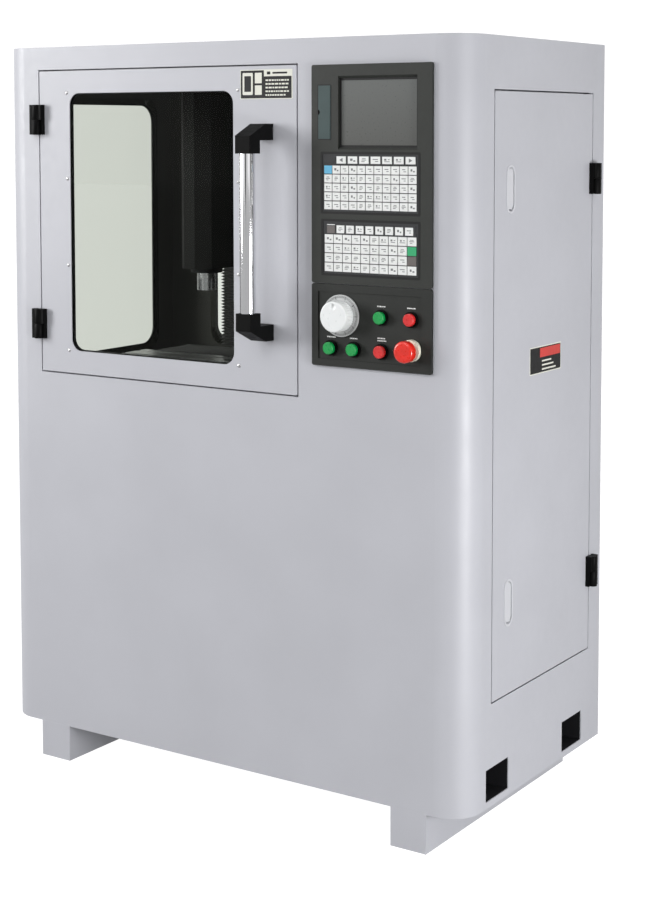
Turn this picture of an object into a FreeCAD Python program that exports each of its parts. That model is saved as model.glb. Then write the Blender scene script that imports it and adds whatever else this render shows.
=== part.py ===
"""Small enclosed CNC machining center, built as separate pieces, in millimetres.

Frame: +X to the operator's right, +Y into the machine, +Z up.  The origin lies on the floor
under the middle of the whole machine, with its hinges, handle and rear fittings counted in.
Places are given by three distances: u from the cabinet's left face, v behind its front face,
and z above the floor.
"""
import os
import math
import FreeCAD
import Part

# Cabinet
CABINET_WIDTH = 1125.0
CABINET_DEPTH = 575.0
CABINET_TOP = 1507.0
SKID_HEIGHT = 75.0
CORNER_RADIUS = 65.0
SHEET = 2.0
LINER = 1.5
HINGE_REACH = 18.0
HANDLE_REACH = 75.0
REAR_REACH = 40.0
LEFT = -(CABINET_WIDTH + HINGE_REACH) / 2
FRONT = -(CABINET_DEPTH + HANDLE_REACH + REAR_REACH) / 2 + HANDLE_REACH

# Base
SKID_WIDTH = 77.0
SKID_PLACES = (95.0, 968.0)
SKID_WALL = 4.0
BASE_THICKNESS = 8.0
ANCHOR_HOLE_RADIUS = 7.0
ANCHOR_PLACES = (110.0, 465.0)
FORK_WIDTH = 89.0
FORK_HEIGHT = 61.0
FORK_BOTTOM = 88.0
FORK_PLACES = (82.5, 402.0)
FORK_WALL = 5.0
FORK_TOP = FORK_BOTTOM + FORK_HEIGHT + FORK_WALL

# Front door and its window
DOOR_GAP = 3.0
DOOR_U = 109.0
DOOR_WIDTH = 650.0
DOOR_Z = 831.0
DOOR_HEIGHT = 626.0
DOOR_DEPTH = 22.0
DOOR_WINDOW = (191.0, 610.5, 878.0, 1411.0)
DOOR_WINDOW_RADIUS = 25.0
GLASS = 5.0
GLASS_OVERLAP = 17.0
SCREW_COLUMNS = (184.0, 622.0)
SCREW_ROWS = (878.0, 1056.0, 1235.0, 1412.0)
SCREW_RADIUS = 2.0
SCREW_HEAD_RADIUS = 4.0
JAMB_DEPTH = 28.0
JAMB_LIP = 15.0

# Handle
HANDLE_U = 687.0
HANDLE_TUBE_RADIUS = 15.0
HANDLE_TUBE_WALL = 1.5
HANDLE_OFFSET = 59.0
HANDLE_TUBE_Z = (977.0, 1303.0)
HANDLE_BLOCK_WIDTH = 36.0

# Hinges
BARREL_RADIUS = 9.0
HINGE_PIN_RADIUS = 3.5
HINGE_HEIGHT = 62.0
HINGE_LEAF_REACH = 16.0
HINGE_LEAF_PROUD = 13.0
FRONT_HINGE_Z = (899.5, 1326.0)
SIDE_HINGE_Z = (403.0, 1206.0)

# Side door
SIDE_DOOR_V = (104.0, 520.0)
SIDE_DOOR_Z = (273.0, 1406.0)
SIDE_DOOR_DEPTH = 20.0
LATCH_V = 167.0
LATCH_WIDTH = 34.0
LATCH_HEIGHT = 90.0
LATCH_Z = (447.0, 1225.0)
LATCH_FRAME = 4.0
LATCH_DEPTH = 9.0
LATCH_PIVOT_RISE = 12.0
LATCH_PIN_DEPTH = 4.0
LATCH_PIN_RADIUS = 1.6
LATCH_PIN_HALF = 13.8

# Windows of the chamber
LEFT_WINDOW = (80.0, 500.0, 831.0, 1394.0)
LEFT_WINDOW_RADIUS = 40.0
REAR_WINDOW = (134.0, 650.0, 845.0, 1400.0)
REAR_WINDOW_RADIUS = 30.0
WINDOW_SHEET = 3.0
WINDOW_OVERLAP = 14.0
PARTITION_U = 777.0
GLAND_U = 950.0
GLAND_Z = 320.0
GLAND_BODY_RADIUS = 12.0
GLAND_BORE_RADIUS = 7.0
CHIP_PAN_Z = 798.0

# Operator panel
PANEL_U = (797.0, 1057.0)
PANEL_Z = (893.6, 1456.0)
PANEL_SPLIT = 1048.8
PANEL_PROUD = 6.0
PANEL_RADIUS = 4.0
SCREEN = (856.0, 1026.0, 1303.0, 1430.5)
UPPER_KEYPAD = (821.5, 1029.0, 1183.5, 1291.0)
LOWER_KEYPAD = (822.5, 1029.0, 1068.0, 1166.0)
KEYPAD_POCKET = 1.5
KEY_HEIGHT = 0.8
FLAP = (812.0, 840.0, 1318.0, 1418.0)
FLAP_THICKNESS = 3.0
AUX_RECESS = (811.0, 1035.5, 907.0, 1034.0)
AUX_RECESS_DEPTH = 2.0
AUX_FLOOR = -PANEL_PROUD + AUX_RECESS_DEPTH
DIAL_CENTRE = (862.0, 990.0)
DIAL_RADIUS = 39.5
DIAL_THICKNESS = 3.0
KNOB_RADIUS = 29.0
KNOB_HEIGHT = 26.0
KNOB_RIDGES = 40
BUTTON_RING_RADIUS = 14.75
BUTTON_HOLE_RADIUS = 11.1
BUTTON_TRAVEL = 4.0
LENS_RADIUS = 11.5
LENS_PROUD = 13.0
BUTTONS = {
    "green_button_upper": (949.6, 991.4),
    "red_button_upper": (1013.7, 991.4),
    "green_button_left": (839.3, 928.6),
    "green_button_middle": (890.0, 928.6),
    "red_button_lower": (950.2, 928.6),
}
STOP_CENTRE = (1014.5, 935.0)
STOP_RADIUS = 20.0
STOP_PROUD = 34.0

# Machine inside the chamber
SPINDLE_U = 392.0
SPINDLE_V = 200.0
BED_TOP = 700.0
BED_HALF_WIDTH = 140.0
BED_V = (60.0, 560.0)
COLUMN_HALF_WIDTH = 90.0
COLUMN_V = (440.0, 560.0)
COLUMN_TOP = 1400.0
RAIL_WIDTH = 15.0
RAIL_HEIGHT = 20.0
Y_RAIL_SPACING = 200.0
Z_RAIL_SPACING = 150.0
X_RAIL_SPACING = 100.0
SCREW_SHAFT_RADIUS = 8.0
Y_SCREW_Z = 665.0
X_SCREW_Z = 752.0
Z_SCREW_V = 460.0
JOURNAL_RADIUS = 6.0
RUNNING_GAP = 0.4
SERVO_SIZE = 60.0
TABLE_LENGTH = 460.0
TABLE_WIDTH = 150.0
TABLE_Z = (808.0, 850.0)
SLOT_NECK = 10.0
SLOT_HEAD = 17.0
SLOT_SPACING = 50.0
SADDLE_Z = (728.0, 776.0)
SADDLE_HALF_LENGTH = 160.0
NOSE_Z = 1045.0
CAP_THICKNESS = 8.0
CAP_RADIUS = 33.0
CHUCK_RADIUS = 21.0
CHUCK_BOTTOM = 1000.0
COLLET_BORE_RADIUS = 5.0
COLLET_BORE_DEPTH = 30.0
HEAD_PLATE_Z = (1060.0, 1330.0)
HEAD_HALF_WIDTH = 39.0
HEAD_FLAT_HALF = 13.7
HEAD_FRONT_V = 140.0
COVER_TOP = 1470.0
COVER_SHEET = 1.5
FOLD_DEPTH = 6.0
FOLD_PITCH = 7.0
BELLOWS_WIDTH = 239.0
WAY_COVER_U = (182.0, 602.0)


def block(u0, u1, v0, v1, z0, z1):
    """A box between two distances across, two distances in and two heights."""
    corner = FreeCAD.Vector(LEFT + u0, FRONT + v0, z0)
    return Part.makeBox(u1 - u0, v1 - v0, z1 - z0, corner)


def rounded(solid, radius, axis):
    """The same box with its four edges along one axis rounded."""
    direction = FreeCAD.Vector(*axis)
    edges = [e for e in solid.Edges if abs(e.tangentAt(e.FirstParameter).dot(direction)) > 0.99]
    return solid.makeFillet(radius, edges)


def upright(u, v, z0, z1, radius):
    """A round bar standing along Z."""
    return Part.makeCylinder(radius, z1 - z0, FreeCAD.Vector(LEFT + u, FRONT + v, z0))


def inward(u, z, v0, v1, radius):
    """A round bar lying along Y."""
    start = FreeCAD.Vector(LEFT + u, FRONT + v0, z)
    return Part.makeCylinder(radius, v1 - v0, start, FreeCAD.Vector(0, 1, 0))


def sideways(v, z, u0, u1, radius):
    """A round bar lying along X."""
    start = FreeCAD.Vector(LEFT + u0, FRONT + v, z)
    return Part.makeCylinder(radius, u1 - u0, start, FreeCAD.Vector(1, 0, 0))


def prism_up(points, z0, z1):
    """A prism standing on a plan outline given as (u, v) points."""
    corners = [FreeCAD.Vector(LEFT + u, FRONT + v, z0) for u, v in points]
    face = Part.Face(Part.makePolygon(corners + corners[:1]))
    return face.extrude(FreeCAD.Vector(0, 0, z1 - z0))


def prism_across(points, u0, u1):
    """A prism along X on a side outline given as (v, z) points."""
    corners = [FreeCAD.Vector(LEFT + u0, FRONT + v, z) for v, z in points]
    face = Part.Face(Part.makePolygon(corners + corners[:1]))
    return face.extrude(FreeCAD.Vector(u1 - u0, 0, 0))


def joined(solids):
    """One solid from several that touch or overlap."""
    return solids[0].multiFuse(solids[1:]).removeSplitter()


def save(name, *solids):
    """Write one piece, or one group of like pieces, as a STEP file."""
    shape = solids[0] if len(solids) == 1 else Part.makeCompound(list(solids))
    shape.exportStep("parts/" + name + ".step")


def cabinet_plan(inset, z0, z1):
    """The cabinet's plan with its two rounded front corners, moved in by an inset."""
    solid = block(inset, CABINET_WIDTH - inset, inset, CABINET_DEPTH - inset, z0, z1)
    front = FRONT + inset
    edges = [e for e in solid.Edges if e.Length > z1 - z0 - 0.01 and abs(e.CenterOfMass.y - front) < 0.01
             and abs(e.tangentAt(e.FirstParameter).z) > 0.99]
    return solid.makeFillet(CORNER_RADIUS - inset, edges)


# Base

def base_frame():
    """Two skid channels, closed at the front and open at the rear, welded under a base plate."""
    plate = cabinet_plan(SHEET, SKID_HEIGHT, SKID_HEIGHT + BASE_THICKNESS)
    parts = [plate]
    for u in SKID_PLACES:
        outer = block(u, u + SKID_WIDTH, 0, CABINET_DEPTH, 0, SKID_HEIGHT)
        inner = block(u + SKID_WALL, u + SKID_WIDTH - SKID_WALL, SKID_WALL, CABINET_DEPTH + 1,
                      SKID_WALL, SKID_HEIGHT - SKID_WALL)
        skid = outer.cut(inner)
        for v in ANCHOR_PLACES:
            skid = skid.cut(upright(u + SKID_WIDTH / 2, v, -1, SKID_WALL + 1, ANCHOR_HOLE_RADIUS))
        parts.append(skid)
    save("base_frame", joined(parts))


def fork_tubes():
    """Two rectangular tubes through the base for the forks of a lift truck."""
    tubes = []
    for v in FORK_PLACES:
        outer = block(SHEET, CABINET_WIDTH - SHEET, v - FORK_WALL, v + FORK_WIDTH + FORK_WALL,
                      FORK_BOTTOM - FORK_WALL, FORK_TOP)
        inner = block(0, CABINET_WIDTH, v, v + FORK_WIDTH, FORK_BOTTOM, FORK_BOTTOM + FORK_HEIGHT)
        tubes.append(outer.cut(inner))
    save("fork_tubes", *tubes)


# Enclosure

def front_panel():
    """The front sheet with both rounded corners, the door's jamb and the opening for the panel."""
    shell = cabinet_plan(0, SKID_HEIGHT, CABINET_TOP).cut(cabinet_plan(SHEET, SKID_HEIGHT - 1, CABINET_TOP + 1))
    shell = shell.common(block(0, CABINET_WIDTH, 0, CORNER_RADIUS, SKID_HEIGHT, CABINET_TOP))
    u0 = DOOR_U - DOOR_GAP
    u1 = DOOR_U + DOOR_WIDTH + DOOR_GAP
    z0 = DOOR_Z - DOOR_GAP
    z1 = DOOR_Z + DOOR_HEIGHT + DOOR_GAP
    jamb = block(u0 - SHEET, u1 + SHEET, SHEET / 2, JAMB_DEPTH, z0 - SHEET, z1 + SHEET)
    shell = shell.fuse(jamb)
    shell = shell.cut(block(u0, u1, -1, JAMB_DEPTH - SHEET, z0, z1))
    shell = shell.cut(block(u0 + JAMB_LIP, u1 - JAMB_LIP, 0, JAMB_DEPTH + 1, z0 + JAMB_LIP, z1 - JAMB_LIP))
    panel_hole = block(PANEL_U[0] + 15, PANEL_U[1] - 15, -1, SHEET + 1, PANEL_SPLIT + 15, PANEL_Z[1] - 15)
    aux_hole = block(PANEL_U[0] + 15, PANEL_U[1] - 15, -1, SHEET + 1, PANEL_Z[0] + 12, PANEL_SPLIT - 12)
    save("front_panel", shell.cut(panel_hole).cut(aux_hole).removeSplitter())


def window_cut(left, right, v0, v1, z0, z1, radius):
    """A tall rounded opening through a wall that faces sideways."""
    return rounded(block(left, right, v0, v1, z0, z1), radius, (1, 0, 0))


def left_side_panel():
    """The left sheet, with its window and two fork pockets."""
    sheet = block(0, SHEET, CORNER_RADIUS, CABINET_DEPTH, SKID_HEIGHT, CABINET_TOP)
    sheet = sheet.cut(window_cut(-1, SHEET + 1, *LEFT_WINDOW, LEFT_WINDOW_RADIUS))
    for v in FORK_PLACES:
        sheet = sheet.cut(block(-1, SHEET + 1, v, v + FORK_WIDTH, FORK_BOTTOM, FORK_BOTTOM + FORK_HEIGHT))
    save("left_side_panel", sheet)


def right_side_panel():
    """The right sheet, with the side door's jamb and two fork pockets."""
    outside = CABINET_WIDTH
    v0 = SIDE_DOOR_V[0] - DOOR_GAP
    v1 = SIDE_DOOR_V[1] + DOOR_GAP
    z0 = SIDE_DOOR_Z[0] - DOOR_GAP
    z1 = SIDE_DOOR_Z[1] + DOOR_GAP
    depth = SIDE_DOOR_DEPTH + 6
    sheet = block(outside - SHEET, outside, CORNER_RADIUS, CABINET_DEPTH, SKID_HEIGHT, CABINET_TOP)
    jamb = block(outside - depth, outside - SHEET / 2, v0 - SHEET, v1 + SHEET, z0 - SHEET, z1 + SHEET)
    sheet = sheet.fuse(jamb)
    sheet = sheet.cut(block(outside - depth + SHEET, outside + 1, v0, v1, z0, z1))
    sheet = sheet.cut(block(outside - depth - 1, outside, v0 + JAMB_LIP, v1 - JAMB_LIP, z0 + JAMB_LIP, z1 - JAMB_LIP))
    for v in FORK_PLACES:
        sheet = sheet.cut(block(outside - SHEET - 1, outside + 1, v, v + FORK_WIDTH,
                                FORK_BOTTOM, FORK_BOTTOM + FORK_HEIGHT))
    save("right_side_panel", sheet.removeSplitter())


def roof_panel():
    """The roof sheet, let in between the walls."""
    save("roof_panel", cabinet_plan(SHEET, CABINET_TOP - SHEET, CABINET_TOP))


def back_panel():
    """The back sheet, with the rear window, cooling slots and the cable entry."""
    z0 = SKID_HEIGHT + BASE_THICKNESS
    z1 = CABINET_TOP - SHEET
    sheet = block(SHEET, CABINET_WIDTH - SHEET, CABINET_DEPTH - SHEET, CABINET_DEPTH, z0, z1)
    u0, u1, w0, w1 = REAR_WINDOW
    opening = block(u0, u1, CABINET_DEPTH - SHEET - 1, CABINET_DEPTH + 1, w0, w1)
    sheet = sheet.cut(rounded(opening, REAR_WINDOW_RADIUS, (0, 1, 0)))
    for row in range(12):
        z = 1150 + 14 * row
        sheet = sheet.cut(block(880, 1020, CABINET_DEPTH - SHEET - 1, CABINET_DEPTH + 1, z, z + 5))
    sheet = sheet.cut(inward(GLAND_U, GLAND_Z, CABINET_DEPTH - SHEET - 1, CABINET_DEPTH + 1, GLAND_BODY_RADIUS + 0.3))
    save("back_panel", sheet)


def cable_gland():
    """The entry of the power cable: a threaded body with a hexagon on each side of the sheet."""
    outer_face = CABINET_DEPTH
    body = inward(GLAND_U, GLAND_Z, outer_face - 20, outer_face + REAR_REACH, GLAND_BODY_RADIUS)
    parts = [body]
    for v0, v1 in ((outer_face, outer_face + 10), (outer_face - SHEET - 7, outer_face - SHEET)):
        corners = []
        for turn in range(6):
            angle = math.radians(60 * turn)
            corners.append(FreeCAD.Vector(LEFT + GLAND_U + 17 * math.cos(angle), FRONT + v0,
                                          GLAND_Z + 17 * math.sin(angle)))
        face = Part.Face(Part.makePolygon(corners + corners[:1]))
        parts.append(face.extrude(FreeCAD.Vector(0, v1 - v0, 0)))
    gland = joined(parts).cut(inward(GLAND_U, GLAND_Z, outer_face - 21, outer_face + REAR_REACH + 1, GLAND_BORE_RADIUS))
    save("cable_gland", gland)


def fixed_windows():
    """The two clear sheets that close the left and the rear window from inside."""
    v0, v1, z0, z1 = LEFT_WINDOW
    over = WINDOW_OVERLAP
    inner = SHEET + LINER
    left = window_cut(inner, inner + WINDOW_SHEET, v0 - over, v1 + over, z0 - over, z1 + over, LEFT_WINDOW_RADIUS)
    u0, u1, z0, z1 = REAR_WINDOW
    back = CABINET_DEPTH - inner
    rear = rounded(block(u0 - over, u1 + over, back - WINDOW_SHEET, back, z0 - over, z1 + over),
                   REAR_WINDOW_RADIUS, (0, 1, 0))
    save("fixed_windows", left, rear)


def chamber_liner():
    """The dark lining of the work chamber: left wall, back wall, ceiling and the partition on the right."""
    z0 = CHIP_PAN_Z - 40
    z1 = CABINET_TOP - SHEET
    back = CABINET_DEPTH - SHEET
    front = JAMB_DEPTH + 2
    left = block(SHEET, SHEET + LINER, CORNER_RADIUS, back, z0, z1)
    left = left.cut(window_cut(SHEET - 1, SHEET + LINER + 1, *LEFT_WINDOW, LEFT_WINDOW_RADIUS))
    rear = block(SHEET, PARTITION_U, back - LINER, back, z0, z1)
    u0, u1, w0, w1 = REAR_WINDOW
    rear = rear.cut(rounded(block(u0, u1, back - LINER - 1, back + 1, w0, w1), REAR_WINDOW_RADIUS, (0, 1, 0)))
    ceiling = block(SHEET + CORNER_RADIUS, PARTITION_U, front, back, z1 - LINER, z1)
    ceiling = ceiling.fuse(block(SHEET, SHEET + CORNER_RADIUS, CORNER_RADIUS, back, z1 - LINER, z1))
    partition = block(PARTITION_U - LINER, PARTITION_U, front, back, FORK_TOP, z1)
    save("chamber_liner", joined([left, rear, ceiling, partition]))


def chip_pan():
    """The tray around the bed that catches chips, open in the middle for the saddle and the column."""
    inner = SHEET + LINER
    pan = block(inner, PARTITION_U - LINER, JAMB_DEPTH + 2, CABINET_DEPTH - inner, CHIP_PAN_Z, CHIP_PAN_Z + SHEET)
    corner = block(0, inner + CORNER_RADIUS, 0, CORNER_RADIUS, CHIP_PAN_Z - 1, CHIP_PAN_Z + SHEET + 1)
    pan = pan.cut(corner)
    pan = pan.cut(block(200, 584, 45, 399, CHIP_PAN_Z - 1, CHIP_PAN_Z + SHEET + 1))
    pan = pan.cut(block(290, 494, 395, CABINET_DEPTH, CHIP_PAN_Z - 1, CHIP_PAN_Z + SHEET + 1))
    save("chip_pan", pan)


# Doors

def front_door():
    """A folded tray of sheet steel with the window opening and holes for the glass screws."""
    outer = block(DOOR_U, DOOR_U + DOOR_WIDTH, 0, DOOR_DEPTH, DOOR_Z, DOOR_Z + DOOR_HEIGHT)
    outer = rounded(outer, 2.5, (0, 1, 0))
    inner = block(DOOR_U + SHEET, DOOR_U + DOOR_WIDTH - SHEET, SHEET, DOOR_DEPTH + 1,
                  DOOR_Z + SHEET, DOOR_Z + DOOR_HEIGHT - SHEET)
    u0, u1, z0, z1 = DOOR_WINDOW
    window = rounded(block(u0, u1, -1, SHEET + 1, z0, z1), DOOR_WINDOW_RADIUS, (0, 1, 0))
    door = outer.cut(inner).cut(window)
    for u in SCREW_COLUMNS:
        for z in SCREW_ROWS:
            door = door.cut(inward(u, z, -1, SHEET + 1, SCREW_RADIUS + 0.3))
    save("front_door", door)


def door_glass():
    """The clear sheet behind the door's opening, with holes for its screws."""
    u0, u1, z0, z1 = DOOR_WINDOW
    over = GLASS_OVERLAP
    glass = block(u0 - over, u1 + over, SHEET, SHEET + GLASS, z0 - over, z1 + over)
    glass = rounded(glass, 6, (0, 1, 0))
    for u in SCREW_COLUMNS:
        for z in SCREW_ROWS:
            glass = glass.cut(inward(u, z, SHEET - 1, SHEET + GLASS + 1, SCREW_RADIUS + 0.3))
    save("door_glass", glass)


def door_screws():
    """Eight dome-headed screws with nuts behind the glass."""
    screws = []
    for u in SCREW_COLUMNS:
        for z in SCREW_ROWS:
            shank = inward(u, z, -0.5, SHEET + GLASS + 5, SCREW_RADIUS)
            dome = Part.makeSphere(5.2, FreeCAD.Vector(LEFT + u, FRONT + 3.2, z))
            head = dome.common(inward(u, z, -3, 0, SCREW_HEAD_RADIUS))
            nut = inward(u, z, SHEET + GLASS, SHEET + GLASS + 3.2, 3.6)
            screws.append(joined([shank, head, nut]))
    save("door_screws", *screws)


def door_handle_tube():
    """The polished tube that the hand grips."""
    z0, z1 = HANDLE_TUBE_Z
    tube = upright(HANDLE_U, -HANDLE_OFFSET, z0, z1, HANDLE_TUBE_RADIUS)
    bore = upright(HANDLE_U, -HANDLE_OFFSET, z0 - 1, z1 + 1, HANDLE_TUBE_RADIUS - HANDLE_TUBE_WALL)
    save("door_handle_tube", tube.cut(bore))


def handle_bracket(end, outward):
    """One end bracket: a socket round the tube's end, an arm, and a foot on the door."""
    half = HANDLE_BLOCK_WIDTH / 2
    reach = HANDLE_REACH
    near = HANDLE_REACH - 2 * (HANDLE_REACH - HANDLE_OFFSET)
    side = [
        (0, end + outward * 56), (-25, end + outward * 56), (-reach, end + outward * 33), (-reach, end),
        (-near, end), (-near, end + outward * 25), (0, end + outward * 25),
    ]
    solid = prism_across(side, HANDLE_U - half, HANDLE_U + half)
    front_edges = [e for e in solid.Edges if abs(e.CenterOfMass.y - (FRONT - reach)) < 0.01
                   and abs(e.tangentAt(e.FirstParameter).z) > 0.99]
    solid = solid.makeFillet(2, front_edges)
    socket = upright(HANDLE_U, -HANDLE_OFFSET, min(end, end + outward * 12) - 0.01,
                     max(end, end + outward * 12) + 0.01, HANDLE_TUBE_RADIUS + 0.3)
    return solid.cut(socket)


def door_handle_brackets():
    """The two end brackets, mirrored top and bottom."""
    z0, z1 = HANDLE_TUBE_Z
    save("door_handle_brackets", handle_bracket(z0 + 12, -1), handle_bracket(z1 - 12, 1))


def hinge_pair(u, v, z, along, outward):
    """Frame leaf and door leaf of one lift-off hinge; its barrel stands at (u, v)."""
    middle = z + HINGE_HEIGHT / 2
    base = BARREL_RADIUS
    floor = HINGE_LEAF_PROUD - BARREL_RADIUS

    def leaf(near, far, depth, z0, z1):
        corners = []
        for a, b in ((near, base), (far, base), (far, base - depth), (near, base - depth)):
            corners.append((u + along[0] * a - outward[0] * b, v + along[1] * a - outward[1] * b))
        return prism_up(corners, z0, z1)

    full = floor + base
    pin = upright(u, v, z + 5, z + HINGE_HEIGHT - 6, HINGE_PIN_RADIUS)
    frame = joined([
        leaf(-HINGE_LEAF_REACH, -BARREL_RADIUS - 0.6, full, z, z + HINGE_HEIGHT),
        leaf(-BARREL_RADIUS - 1, 0, full, z, middle - 0.3),
        upright(u, v, z, middle - 0.3, BARREL_RADIUS),
        pin,
    ])
    hole = upright(u, v, middle, z + HINGE_HEIGHT - 5, HINGE_PIN_RADIUS + 0.4)
    door = joined([
        leaf(BARREL_RADIUS + 0.6, HINGE_LEAF_REACH - 1, full - 5, z, z + HINGE_HEIGHT),
        leaf(0, HINGE_LEAF_REACH - 1, full, middle + 0.3, z + HINGE_HEIGHT),
        upright(u, v, middle + 0.3, z + HINGE_HEIGHT, BARREL_RADIUS),
    ]).cut(hole)
    return frame, door


def hinges():
    """Two hinges on the front door's left edge and two on the side door's rear edge."""
    frames = []
    front_leaves = []
    side_leaves = []
    for z in FRONT_HINGE_Z:
        frame, door = hinge_pair(DOOR_U - DOOR_GAP / 2, -BARREL_RADIUS, z, (1, 0), (0, -1))
        frames.append(frame)
        front_leaves.append(door)
    for z in SIDE_HINGE_Z:
        frame, door = hinge_pair(CABINET_WIDTH + BARREL_RADIUS, SIDE_DOOR_V[1] + DOOR_GAP / 2, z, (0, -1), (1, 0))
        frames.append(frame)
        side_leaves.append(door)
    save("hinge_frame_leaves", *frames)
    save("front_door_hinge_leaves", *front_leaves)
    save("side_door_hinge_leaves", *side_leaves)


def latch_pocket(z, grow, v_half, z_half, depth0, depth1):
    """An obround slab on the side door, centred on one latch."""
    solid = block(CABINET_WIDTH - depth1, CABINET_WIDTH - depth0, LATCH_V - v_half - grow, LATCH_V + v_half + grow,
                  z - z_half - grow, z + z_half + grow)
    return rounded(solid, v_half + grow - 0.01, (1, 0, 0))


def side_door():
    """The electrical cabinet's door: a folded tray with two holes for its latches."""
    v0, v1 = SIDE_DOOR_V
    z0, z1 = SIDE_DOOR_Z
    outer = rounded(block(CABINET_WIDTH - SIDE_DOOR_DEPTH, CABINET_WIDTH, v0, v1, z0, z1), 2.5, (1, 0, 0))
    inner = block(CABINET_WIDTH - SIDE_DOOR_DEPTH - 1, CABINET_WIDTH - SHEET, v0 + SHEET, v1 - SHEET,
                  z0 + SHEET, z1 - SHEET)
    door = outer.cut(inner)
    for z in LATCH_Z:
        door = door.cut(latch_pocket(z, -1.5, LATCH_WIDTH / 2, LATCH_HEIGHT / 2, -1, SHEET + 1))
    save("side_door", door)


def latch_housings():
    """The obround bowls of both flush latches, each with a rim on the door's face."""
    housings = []
    half = LATCH_WIDTH / 2
    tall = LATCH_HEIGHT / 2
    for z in LATCH_Z:
        rim = latch_pocket(z, 0, half, tall, -1.2, 0)
        body = latch_pocket(z, -1.8, half, tall, -1, LATCH_DEPTH + 2)
        bowl = latch_pocket(z, -LATCH_FRAME, half, tall, -2, LATCH_DEPTH)
        pivot = z - tall + LATCH_PIVOT_RISE
        hole = block(CABINET_WIDTH - LATCH_DEPTH - 3, CABINET_WIDTH - LATCH_DEPTH + 1, LATCH_V - 6, LATCH_V + 6,
                     pivot - 5, pivot + 18)
        pin_hole = inward(CABINET_WIDTH - LATCH_PIN_DEPTH, pivot, LATCH_V - half, LATCH_V + half,
                          LATCH_PIN_RADIUS + RUNNING_GAP)
        housings.append(joined([rim, body]).cut(bowl).cut(hole).cut(pin_hole))
    save("latch_housings", *housings)


def latch_levers():
    """The pull levers that lie in the bowls, each hinged at its lower end with a pawl behind the door."""
    for name, z in (("lower_latch_lever", LATCH_Z[0]), ("upper_latch_lever", LATCH_Z[1])):
        pivot = z - LATCH_HEIGHT / 2 + LATCH_PIVOT_RISE
        half = LATCH_WIDTH / 2 - LATCH_FRAME - 1.5
        face = CABINET_WIDTH
        grip = block(face - 7, face - 0.5, LATCH_V - half, LATCH_V + half,
                     pivot - 3.5, z + LATCH_HEIGHT / 2 - LATCH_FRAME - 2.5)
        upper = rounded(grip, half - 0.01, (1, 0, 0))
        lower = block(face - 7, face - 0.5, LATCH_V - half + 4, LATCH_V + half - 4, pivot - 3.5, pivot + 20)
        tail = block(face - 19, face - 6, LATCH_V - 5, LATCH_V + 5, pivot - 3, pivot + 5)
        pawl = block(face - 19, face - 16, LATCH_V - 5, LATCH_V + 5, pivot - 20, pivot + 5)
        pin = inward(face - LATCH_PIN_DEPTH, pivot, LATCH_V - LATCH_PIN_HALF, LATCH_V + LATCH_PIN_HALF, LATCH_PIN_RADIUS)
        save(name, joined([upper, lower, tail, pawl, pin]))


# Operator panel

def keys(area, columns, rows, top_columns, top_height):
    """Raised keys of one membrane: a top row of small keys above a grid."""
    u0, u1, z0, z1 = area
    margin = 3.5
    out = []
    face = -PANEL_PROUD + KEYPAD_POCKET - 1
    grid_top = z1 - top_height
    pitch_u = (u1 - u0 - 2 * margin) / columns
    pitch_z = (grid_top - z0 - margin) / rows
    for row in range(rows):
        for column in range(columns):
            left = u0 + margin + pitch_u * column
            low = z0 + margin + pitch_z * row
            out.append(block(left + 1.2, left + pitch_u - 1.2, face - KEY_HEIGHT, face, low + 1.2, low + pitch_z - 1.2))
    pitch_top = (u1 - u0 - 2 * margin) / top_columns
    for column in range(top_columns):
        left = u0 + margin + pitch_top * column
        out.append(block(left + 2.5, left + pitch_top - 2.5, face - KEY_HEIGHT, face,
                         grid_top + 2.5, z1 - 4.5))
    return out


def keypads():
    """The upper and the lower membrane keypad, each a sheet with embossed keys."""
    sheets = []
    for area, columns, rows, top in ((UPPER_KEYPAD, 11, 5, 7), (LOWER_KEYPAD, 10, 4, 9)):
        u0, u1, z0, z1 = area
        face = -PANEL_PROUD + KEYPAD_POCKET - 1
        sheet = block(u0 + 0.3, u1 - 0.3, face, face + 1, z0 + 0.3, z1 - 0.3)
        sheets.append(joined([sheet] + keys(area, columns, rows, top, 17)))
    save("keypads", *sheets)


def cnc_bezel():
    """The moulded front of the control, with its screen opening, keypad pockets and card slot."""
    bezel = block(PANEL_U[0], PANEL_U[1], -PANEL_PROUD, 0, PANEL_SPLIT + 0.5, PANEL_Z[1])
    bezel = rounded(bezel, PANEL_RADIUS, (0, 1, 0))
    u0, u1, z0, z1 = SCREEN
    bezel = bezel.cut(block(u0, u1, -PANEL_PROUD - 1, 1, z0, z1))
    slope = [(-PANEL_PROUD, z0 - 4), (-PANEL_PROUD, z1 + 4), (-PANEL_PROUD + 4, z1), (-PANEL_PROUD + 4, z0)]
    bezel = bezel.cut(prism_across(slope, u0, u1))
    for area in (UPPER_KEYPAD, LOWER_KEYPAD):
        u0, u1, z0, z1 = area
        bezel = bezel.cut(block(u0, u1, -PANEL_PROUD - 1, -PANEL_PROUD + KEYPAD_POCKET, z0, z1))
    u0, u1, z0, z1 = FLAP
    bezel = bezel.cut(block(u0, u1, -PANEL_PROUD - 1, -PANEL_PROUD + FLAP_THICKNESS + 0.5, z0, z1))
    bezel = bezel.cut(block(u0 + 9, u1 - 6, -PANEL_PROUD, 1, z0 + 12, z1 - 12))
    save("cnc_bezel", bezel)


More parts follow.
